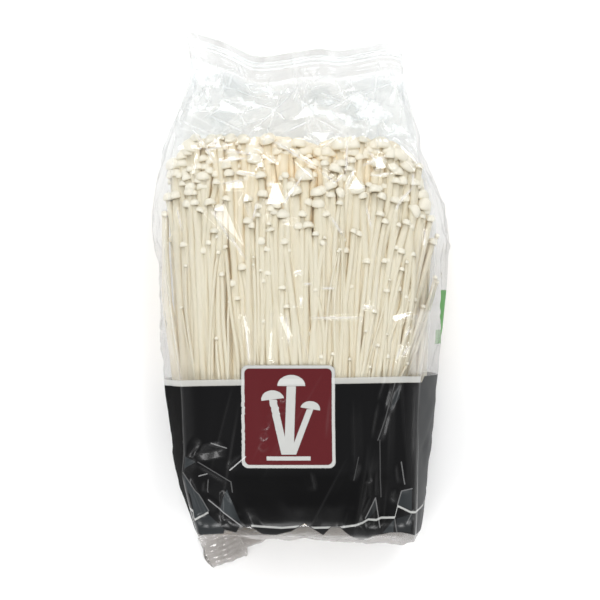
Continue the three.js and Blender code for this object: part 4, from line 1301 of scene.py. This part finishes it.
def weld_flap():
    """Rows run along the outer edge and columns across the strip, over the top and back below. Its height is
    a low swell along it, the ribs, and a rise towards the bag."""
    rows, half = 110, 48
    t = np.linspace(0, 1, rows)[:, None]
    w = np.linspace(0, 1, half)[None, :]
    dx, dy = FLAP_TO[0] - FLAP_FROM[0], FLAP_TO[1] - FLAP_FROM[1]
    length = math.hypot(dx, dy)
    edge = 0.25 * np.sin(23 * t) + 0.15 * np.sin(61 * t)
    edge = edge + 2.7 * smooth((t - 0.335) / 0.03) - 0.9 * np.exp(-((t - 0.322) / 0.014) ** 2)
    slanted = -0.045 * np.sin(math.pi * np.minimum(w / 0.75, 1)) - 0.03 * smooth((w - 0.8) / 0.2)
    run, inward = t + slanted * (1 - t), (FLAP_WIDTH * w + edge * (1 - w)) / length
    x = FLAP_FROM[0] + dx * run - dy * inward
    y = FLAP_FROM[1] + dy * run + dx * inward
    ribs = 0.09 * np.sin(2 * math.pi * w * FLAP_WIDTH / 1.9 + 1.2 * np.sin(9 * t))
    swell = 1.0 + 0.5 * np.sin(7 * t + 2 * w) + 0.35 * np.sin(19 * t - 3 * w) + 1.6 * smooth((w - 0.7) / 0.3)
    top = swell + ribs + FLAP_THICK
    x, y, z, v = (np.concatenate([a, a[:, ::-1]], 1) for a in (x, y, top, np.broadcast_to(w, top.shape)))
    z[:, half:] -= FLAP_THICK
    u = np.broadcast_to(t, v.shape)
    columns = 2 * half
    ends = [[a[0].mean(), a[-1].mean()] for a in (x, y, z)]
    points = np.concatenate([np.stack([x, y, z], -1).reshape(-1, 3), np.array(ends).T])
    uv = np.concatenate([np.stack([u, v], -1).reshape(-1, 2), [(0, 0), (1, 0)]])
    fans = end_fans(rows, columns, rows * columns, rows * columns + 1)
    return mesh_object("weld_flap", points, grid_faces(rows, columns)[:, ::-1], fans[:, ::-1], uv)


flap = weld_flap()

# %% [markdown]
# ## Finishes
# Mushroom flesh is matte. Light that goes in between the stems comes out warm, and the finish paints that
# light into the colour: the deeper a point lies in the bunch, the warmer it is. The caps' undersides are
# painted tan, as painted shade. Stems also darken towards the foot, and the cut end of the base shows the
# imported threads and stem ends as small cells. The inner lump is painted warm too, for the same light.

# %% Mushroom flesh
flesh, g = material("mushroom_flesh")
tone, on_cap, deep, under = (g.measured(name) for name in ("tone", "cap", "deep", "under"))
fibres = g.noise(g.stretched(g.place(), (1500, 90, 1500)), 1.0, 3.0, 0.6)
blotches = g.noise(g.place(), 160.0)
warm = (0.35 * tone + 0.5 * (blotches - 0.5) + 0.35 * (fibres - 0.5) + 0.15).held()
stem_colour = g.mix(warm, (0.68, 0.63, 0.505), (0.62, 0.555, 0.41))
cap_colour = g.mix(warm, (0.765, 0.727, 0.622), (0.725, 0.665, 0.542))
colour = g.mix(on_cap, stem_colour, cap_colour)
# painted shade: each cap's underside, where light from above doesn't reach, is mixed towards tan
colour = g.mix((0.5 * under).held(), colour, (0.68, 0.57, 0.39))
# painted warm light: deep points and stem flanks get a lighter, warmer colour, for the light between the
# stems
colour = g.mix((deep * (0.8 - 0.45 * on_cap)).held(), colour, (0.865, 0.70, 0.455))
_, along_stem = g.surface_place()
towards_foot = (1 - along_stem / 0.6).held() * (0.4 + 0.6 * tone)
colour = g.mix((0.9 * towards_foot).held(), colour, (0.56, 0.46, 0.30))
skin = g.paint(colour, 0.55, Normal=g.bump(fibres, 0.25, 0.0003))
finish(flesh, g, skin, mushrooms_front, mushrooms_back)

base_flesh, g = material("base_flesh")
mottled = g.noise(g.place(), 220.0, 4.0, 0.65)
cells = g.add("ShaderNodeTexVoronoi", None, dict(Vector=g.place(), Scale=420.0))
rims = ((cells - 0.45) / 0.25).held()
colour = g.mix(mottled, (0.66, 0.56, 0.40), (0.50, 0.38, 0.23))
colour = g.mix(0.45 * rims, colour, (0.38, 0.27, 0.15))
rough = g.bump(mottled - 0.8 * rims, 0.7, 0.0006)
finish(base_flesh, g, g.paint(colour, 0.8, Normal=rough), base)

inner_flesh, g = material("inner_flesh")
streaks = g.noise(g.stretched(g.place(), (900, 60, 900)), 1.0, 3.0, 0.6)
# painted warm light: the lump is coloured warmer than the stems, for the warm light from between them
colour = g.mix(streaks, (0.88, 0.75, 0.52), (0.74, 0.57, 0.35))
finish(inner_flesh, g, g.paint(colour, 0.7), core)
print("three kinds of flesh made")

# %% [markdown]
# ## The print
# The print is ink on the film. A mask says where it lies: 1 in the ink, 0 outside it. It is worked out from
# the distance round the bag, u, and the place along it, v, both in millimetres.

# %% Print masks
PRINT_TOP, SIDE_AT, EDGE = -30.9, 44.6, 0.25  # the print's top, where a side panel starts, an edge's softness
film_material, g = material("printed_film")
u, v = (distance / MM for distance in g.surface_place())


def box(left, right, low, high, soft=EDGE):
    """1 inside a rectangle and 0 outside it."""
    return u.between(left, right, soft) * v.between(low, high, soft)


def rounded_box(middle, half, corner):
    """1 inside a rectangle with round corners: worked out from the distance to a smaller, sharp one."""
    dx = ((u - middle[0]).absolute() - (half[0] - corner)).most(0.0)
    dy = ((v - middle[1]).absolute() - (half[1] - corner)).most(0.0)
    return 1 - ((dx * dx + dy * dy) ** 0.5 - corner).step(0.0, EDGE)


def broken_line(points):
    """A line through the points, level outside them: the first height plus, for each point, the change of
    slope there times the distance past it."""
    slopes = [(b[1] - a[1]) / (b[0] - a[0]) for a, b in zip(points, points[1:])]
    total = points[0][1]
    for (at, _), before, after in zip(points, [0.0, *slopes], [*slopes, 0.0]):
        total = (u - at).most(0.0) * (after - before) + total
    return total


def inside_corners(corners, soft=EDGE):
    """1 inside a polygon whose corners are listed anticlockwise: for each edge, the distance to its left."""
    inside = 1.0
    for (x1, y1), (x2, y2) in zip(corners, corners[1:] + corners[:1]):
        length = math.hypot(x2 - x1, y2 - y1)
        left_of = (v - y1) * ((x2 - x1) / length) - (u - x1) * ((y2 - y1) / length)
        inside = left_of.step(0.0, soft) * inside
    return inside


def near_line(x1, y1, x2, y2):
    """1 on the straight line between two points and 0 away from it: the distance from the point to its
    nearest place on the line, less half a line's width."""
    dx, dy = x2 - x1, y2 - y1
    share = (((u - x1) * dx + (v - y1) * dy) / (dx * dx + dy * dy)).held()
    away_u, away_v = u - x1 - share * dx, v - y1 - share * dy
    return 1 - ((away_u * away_u + away_v * away_v) ** 0.5).step(0.2, 0.16)


def drawn_mushroom(foot, top, wide, lean):
    """A plain picture of a mushroom: a stem that leans from its foot to its top, and half a disc on it."""
    along = ((v - foot[1]) / (top[1] - foot[1])).held()
    middle = foot[0] + (top[0] - foot[0]) * along
    stem = (1 - (u - middle).absolute().step(0.34 * wide, EDGE)) * v.between(foot[1], top[1], EDGE)
    du, dv = u - top[0], (v - top[1]) * 1.25
    disc = 1 - ((du * du + dv * dv) ** 0.5).step(wide, EDGE)
    return stem.most(disc * (dv - lean * du).step(0.0, EDGE))


print("print masks ready")

# %% [markdown]
# The foot is black, with a pale stripe along its top and another near its lower edge, and its middle
# carries a maroon label with a pale outline and three plain mushrooms. The foot of the bag is folded in,
# and tucked in at both lower corners, so the lower edge of the print and the stripe above it run in steps.
# A green block stands on the right side panel.

# %% Print
STRIPE_LINE = [
    (-62, -75.5), (-43, -76.8), (-41.4, -78), (-40.7, -81.2), (-35.6, -78.7), (-19.3, -83.7),
    (-8.3, -84.4), (-1.9, -83.9), (4.1, -84.4), (13.4, -84.2), (19, -83.4), (22.2, -82.4), (24.3, -81.2),
    (27.3, -81.4), (29, -80.6), (34.2, -80.5), (35.4, -76.2), (40.1, -78.4), (41.5, -78.4), (62, -76),
]
EDGE_LINE = [
    (-49.3, -86.5), (-40.7, -86), (-38.8, -87.2), (-30.3, -86.9), (-29.6, -85.2), (-25.4, -86.4),
    (-23.9, -83.9), (-19.8, -84.2), (-15.3, -87.2), (-10.8, -87.4), (-6.3, -86.2), (-4.9, -85.9),
    (0.4, -82.7), (7.1, -87.4), (10.1, -84.2), (13.5, -84.2), (21.3, -91.6), (26.1, -87.9),
    (32.1, -86.4), (36.5, -86.3), (41.5, -87.2), (54, -87.4),
]
STRIPE_WIDE, LOW_STRIPE_HALF = 2.3, 0.4
STRIPE_TILT = 0.017  # the top stripe runs up a little to the right
# The label and the maroon inside its outline: their middle, and each one's half-sizes and corner radius.
LABEL_AT, LABEL, MAROON = (-4.8, -42.9), ((17.4, 19.1), 2.4), ((16.2, 17.9), 1.8)
# The mushrooms drawn on it: foot, top, half the cap's width, and lean. Then the bar that they stand on.
DRAWN = [((-6, -57), (-10.6, -36.5), 4.3, 0.15), ((-4.6, -57), (-3.6, -31.5), 5.2, 0),
         ((-3.2, -57), (3.4, -40), 3.7, -0.2)]
GROUND = (-13, 3.4, -59.2, -57.6)
INK_BLACK, INK_PALE = (0.0032, 0.0032, 0.0036), (0.50, 0.505, 0.49)
INK_MAROON, INK_GREEN = (0.088, 0.011, 0.0137), (0.08, 0.25, 0.065)

tilted = v - STRIPE_TILT * u
above_edge, above_stripe = v - broken_line(EDGE_LINE), v - broken_line(STRIPE_LINE)
front_print = (1 - tilted.step(PRINT_TOP, EDGE)) * above_edge.step(0.0, EDGE)
side_print = u.step(44.9, EDGE) * v.between(-60.0, -27.9, EDGE) * (u - 0.9 * v).step(72.8, EDGE)
black = front_print.most(side_print)
top_stripe = tilted.between(PRINT_TOP, PRINT_TOP + STRIPE_WIDE, EDGE) * (1 - u.step(SIDE_AT, EDGE))
low_stripe = above_stripe.between(-LOW_STRIPE_HALF, LOW_STRIPE_HALF, EDGE) * above_edge.step(0.3, EDGE)
low_stripe = low_stripe * (1 - u.between(-35.4, -19.6, EDGE))
label, maroon = rounded_box(LABEL_AT, *LABEL), rounded_box(LABEL_AT, *MAROON)
drawn = box(*GROUND)
for shape in DRAWN:
    drawn = drawn.most(drawn_mushroom(*shape))
green = box(57.0, 74.0, -12.0, 4.2) * (u + 0.33 * v).step(59.0, EDGE)
pale_green = box(56.0, 74.0, -16.2, -10.8)
right_side, left_side = box(SIDE_AT, 100, -96, -27.9), box(-100, -SIDE_AT, -96, PRINT_TOP)
ink = black.most(top_stripe * 0.7).most(label).most(green).most(0.5 * pale_green)
pale = top_stripe.most(0.75 * low_stripe).most(0.9 * (label - maroon).most(drawn)).held()
colour = g.mix(pale, INK_BLACK, INK_PALE)
colour = g.mix((maroon - drawn).held(), colour, INK_MAROON)
colour = g.mix(green.most(pale_green), colour, INK_GREEN)
print("print drawn")

# %% [markdown]
# In the foot the film is crumpled into flat facets with sharp edges. A few lean away from the rest, and the
# sheen they catch is painted on them as a slate grey colour; thin pale lines along their edges are painted
# highlights.

# %% Foot facets
# Corners in u and v, anticlockwise, and strength. Then both ends of each line, and strength.
SHEEN_FACETS = [
    ([(-40.6, -80.8), (-35.3, -78), (-44.4, -63.6)], 0.8),
    ([(-38.8, -87.2), (-30.3, -86.9), (-29.6, -85.2), (-35.4, -79.3), (-40.6, -81.8)], 0.5),
    ([(-31.1, -77.9), (-23.3, -82.6), (-28, -70), (-29.7, -72.8)], 1),
    ([(-43.7, -62.2), (-39.5, -59.7), (-43.4, -57.6)], 0.75),
    ([(40.6, -77.9), (41, -69.6), (37, -70.6), (35.4, -75.8)], 0.65),
    ([(34.5, -86), (40, -86), (41.2, -79), (35, -80.8)], 0.35),
    ([(23.1, -80.9), (24.6, -80.9), (27.4, -77.5), (27.2, -73.2)], 0.6),
    ([(34.5, -34.9), (33.4, -40.9), (37, -36), (36.8, -30.5)], 0.55),
    ([(33.5, -86.2), (34, -81.2), (29.4, -86.6)], 0.8),
]
FOOT_CREASE_HIGHLIGHTS = [
    (-38.6, -59.8, -26.4, -67.2, 0.1), (-26.4, -67.2, -26, -71, 0.1), (-35.5, -73.9, -30.8, -77.6, 0.3),
    (-30.8, -77.6, -23, -84, 0.32), (-26.7, -62.8, -20.8, -57.8, 0.55), (-44.2, -63.6, -35.3, -78, 0.12),
    (-34.9, -66.5, -35.3, -71, 0.1), (-38.3, -65, -35.3, -64.2, 0.28), (27.2, -73.2, 23.2, -80.8, 0.16),
    (27.2, -73.2, 28.6, -84.3, 0.18), (29.2, -51.6, 29.3, -72.8, 0.06), (37.1, -59.8, 38.3, -68, 0.16),
    (37, -70.6, 41, -69.6, 0.16), (37, -70.6, 35.4, -75.8, 0.16), (34.2, -81.2, 34.8, -86, 0.12),
    (41.2, -77.6, 38.6, -82.8, 0.1), (35.1, -29.7, 31.2, -44.2, 0.08), (31.2, -44.2, 28.5, -51.6, 0.08),
    (21.2, -58, 19.3, -66.5, 0.05), (-33.6, -52.8, -27.9, -54.6, 0.2),
]
FACET_PAINTED_SHEEN = (0.031, 0.036, 0.039)

facets = foot_crease_highlight = 0.0
for corners, strength in SHEEN_FACETS:
    facets = inside_corners(corners) * strength + facets
for *ends, strength in FOOT_CREASE_HIGHLIGHTS:
    # painted highlight along each crease line of the foot
    foot_crease_highlight = (near_line(*ends) * strength).most(foot_crease_highlight)
# painted sheen: where a facet leans away, its ink is coloured grey for the light it catches
colour = g.mix((facets.held() * (1 - pale)).held(), colour, FACET_PAINTED_SHEEN)
print("facets:", len(SHEEN_FACETS), "worn lines:", len(FOOT_CREASE_HIGHLIGHTS))

# %% [markdown]
# ## Film in layers
# Clear film lets light through and adds a mirror on top. Ink hides what is behind it. Over both lie thin
# veils, each with its own share at each point: painted highlights along the creases and folds, the milky
# welds and side panels with painted shade at the foot's end, painted shade and painted sheen in the slack,
# frosted crimp bars, and a painted grey sheen on the right side panel. Where the inked film is pressed flat
# against the bunch it is matte.

# %% Film layers
WELD_FROM, WELD_LIP, CRIMP_BARS = 88.7, 96.6, (96.4, 95.1, 93.8)
FOOT_FOLD, FOOT_END = -86.0, -91.5

crinkled = g.bump(g.noise(g.place(), 260.0, 3.0, 0.6), 0.07, 0.0005)
crease_highlight, fold_highlight, slack_shade, slack_sheen = (g.measured(name) for name in on_front)
on_right = u.step(0.0, 1.0)
# a white finish, laid over the film as painted highlights and painted sheen
painted_highlight_white = g.paint((0.72, 0.72, 0.72), 0.35)
matte = g.paint((0.0035, 0.0035, 0.0035), 0.8, Specular_IOR_Level=0.0)
# a diffuse grey that stands for the sheen of the right side panel: painted sheen
right_side_painted_sheen = g.paint((0.042, 0.0435, 0.045), 0.6, Specular_IOR_Level=0.1)
leaf = g.paint(colour, 0.6, Specular_IOR_Level=0.1)
# the first grey is the welds' cloudiness and painted shade at the foot's end; the second is painted shade
weld_cloud_and_shade_grey, slack_shade_grey = g.paint((0.42, 0.39, 0.365), 0.35), g.paint((0.285, 0.335, 0.34), 0.35)
# a white that is painted sheen in the slack, and the real frosting of the crimp bars
frost_and_sheen_white = g.paint((0.86, 0.91, 0.92), 0.35)

calm = 0.45 * box(-26.0, 32.0, -84.0, -64.0, 3.0) * (1 - pale)
# corner is how strongly the painted highlight along the folded edges shows on the ink, most at the lower left
corner = 0.05 + 0.04 * on_right + 0.18 * (1 - on_right) * (1 - v.step(-66.0, 3.0))
inked = g.paint(colour, 0.2, IOR=1.4, Normal=crinkled)
inked = g.over(inked, (0.93 * left_side * black).most(calm), matte)
inked = g.over(inked, 0.9 * green.most(pale_green), leaf)
# painted sheen: the right side panel's black ink is shown as grey, for the light it mirrors from the table
inked = g.over(inked, 0.9 * right_side * black * (1 - pale), right_side_painted_sheen)
# painted highlights on the ink: along the folded edges, the creases and the foot's crease lines
inked = g.over(inked, (corner * fold_highlight + 0.1 * crease_highlight).most(foot_crease_highlight).held(), painted_highlight_white)

blotch = ((g.noise(g.place(), 110.0, 1.0) - 0.42) * 8).held()
dull = (2 - (u + 34.5).absolute().step(6.5, 2.0) - (u + 0.7).absolute().step(14.0, 3.0)).held()
weld_cloud_and_shade = (0.09 + 0.05 * blotch) * v.step(WELD_FROM, 0.4) + 0.16 * dull * v.step(WELD_LIP, 0.5)
# painted shade: below the print's fold the film's end gets the same brownish grey, for the shade seen through
# it
weld_cloud_and_shade = weld_cloud_and_shade + 0.3 * (1 - v.step(FOOT_FOLD, 4.0)) + 0.15 * (1 - v.step(FOOT_END, 1.0))
sides = u.absolute().step(42.5, 4.0) * v.step(-32.0, 3.0) * (1 - 0.8 * v.step(22.0, 6.0))
sides = sides * (1 - v.step(58.0, 9.0))
weld_cloud_and_shade = weld_cloud_and_shade + (0.09 + 0.04 * on_right + 0.05 * (1 - v.step(-8.0, 6.0))) * sides
crumbs = (0.4 + 5 * (g.noise(g.place(), 190.0, 1.5) - 0.45)).held()
bars = 0.0
for bar in CRIMP_BARS:
    bars = (1 - (v - bar).absolute().step(0.22, 0.12)).most(bars)
# painted sheen: a white haze over the film at the right, beside the stems
right_sheen_patch = inside_corners([(40.0, -27.0), (50.5, -26.5), (49.0, -4.0), (43.5, -3.0)], 1.5)

clear_film = g.clear(0.957, 0.967, 0.971)
clear_film = g.over(clear_film, g.glancing(0.05), g.gloss((0.8, 0.8, 0.81), 0.06, Normal=crinkled))
# painted highlight along the creases
clear_film = g.over(clear_film, 0.6 * crease_highlight, painted_highlight_white)
# the welds' and side panels' cloudiness, and painted shade at the foot's end
clear_film = g.over(clear_film, weld_cloud_and_shade, weld_cloud_and_shade_grey)
# painted shade patches in the slack
clear_film = g.over(clear_film, 0.8 * slack_shade, slack_shade_grey)
# painted sheen patches in the slack, and the upper weld's frosted crimp bars
clear_film = g.over(clear_film, (0.8 * slack_sheen * crumbs).most(0.6 * bars * (1 - 0.5 * blotch)).held(), frost_and_sheen_white)
# painted highlight along the front's folded edges, and the painted sheen patch at the right
clear_film = g.over(clear_film, 0.26 * fold_highlight + 0.22 * right_sheen_patch, painted_highlight_white)
finish(film_material, g, g.over(clear_film, ink.held(), inked), film)
print("film finish made")

# %% [markdown]
# The folded corner of the lower weld is one cloudy film with a mirror on top.

# %% Weld finish
weld_material, g = material("welded_film")
clear = g.over(g.clear(0.95, 0.95, 0.95), g.glancing(0.08), g.gloss((0.9, 0.9, 0.9), 0.1))
cloudy = (0.2 + 0.25 * g.noise(g.place(), 300.0, 3.0)).held()
finish(weld_material, g, g.over(clear, cloudy, g.paint((0.37, 0.335, 0.305), 0.3)), flap)
print("weld finish made")

# %% [markdown]
# ## Hand over
# Each piece rides on the one body, and the CAD node that it stands for is hidden.

# %% Finish
for piece in (mushrooms_front, mushrooms_back, base, core):
    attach(piece, "root")
    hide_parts("enoki_bunch")
for piece in (film, flap):
    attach(piece, "root")
    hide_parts("bag_film")

scene.view_settings.view_transform = "Standard"
scene.cycles.transparent_max_bounces = 24
scene.cycles.max_bounces = 24
scene.cycles.diffuse_bounces = 12
bpy.context.view_layer.update()
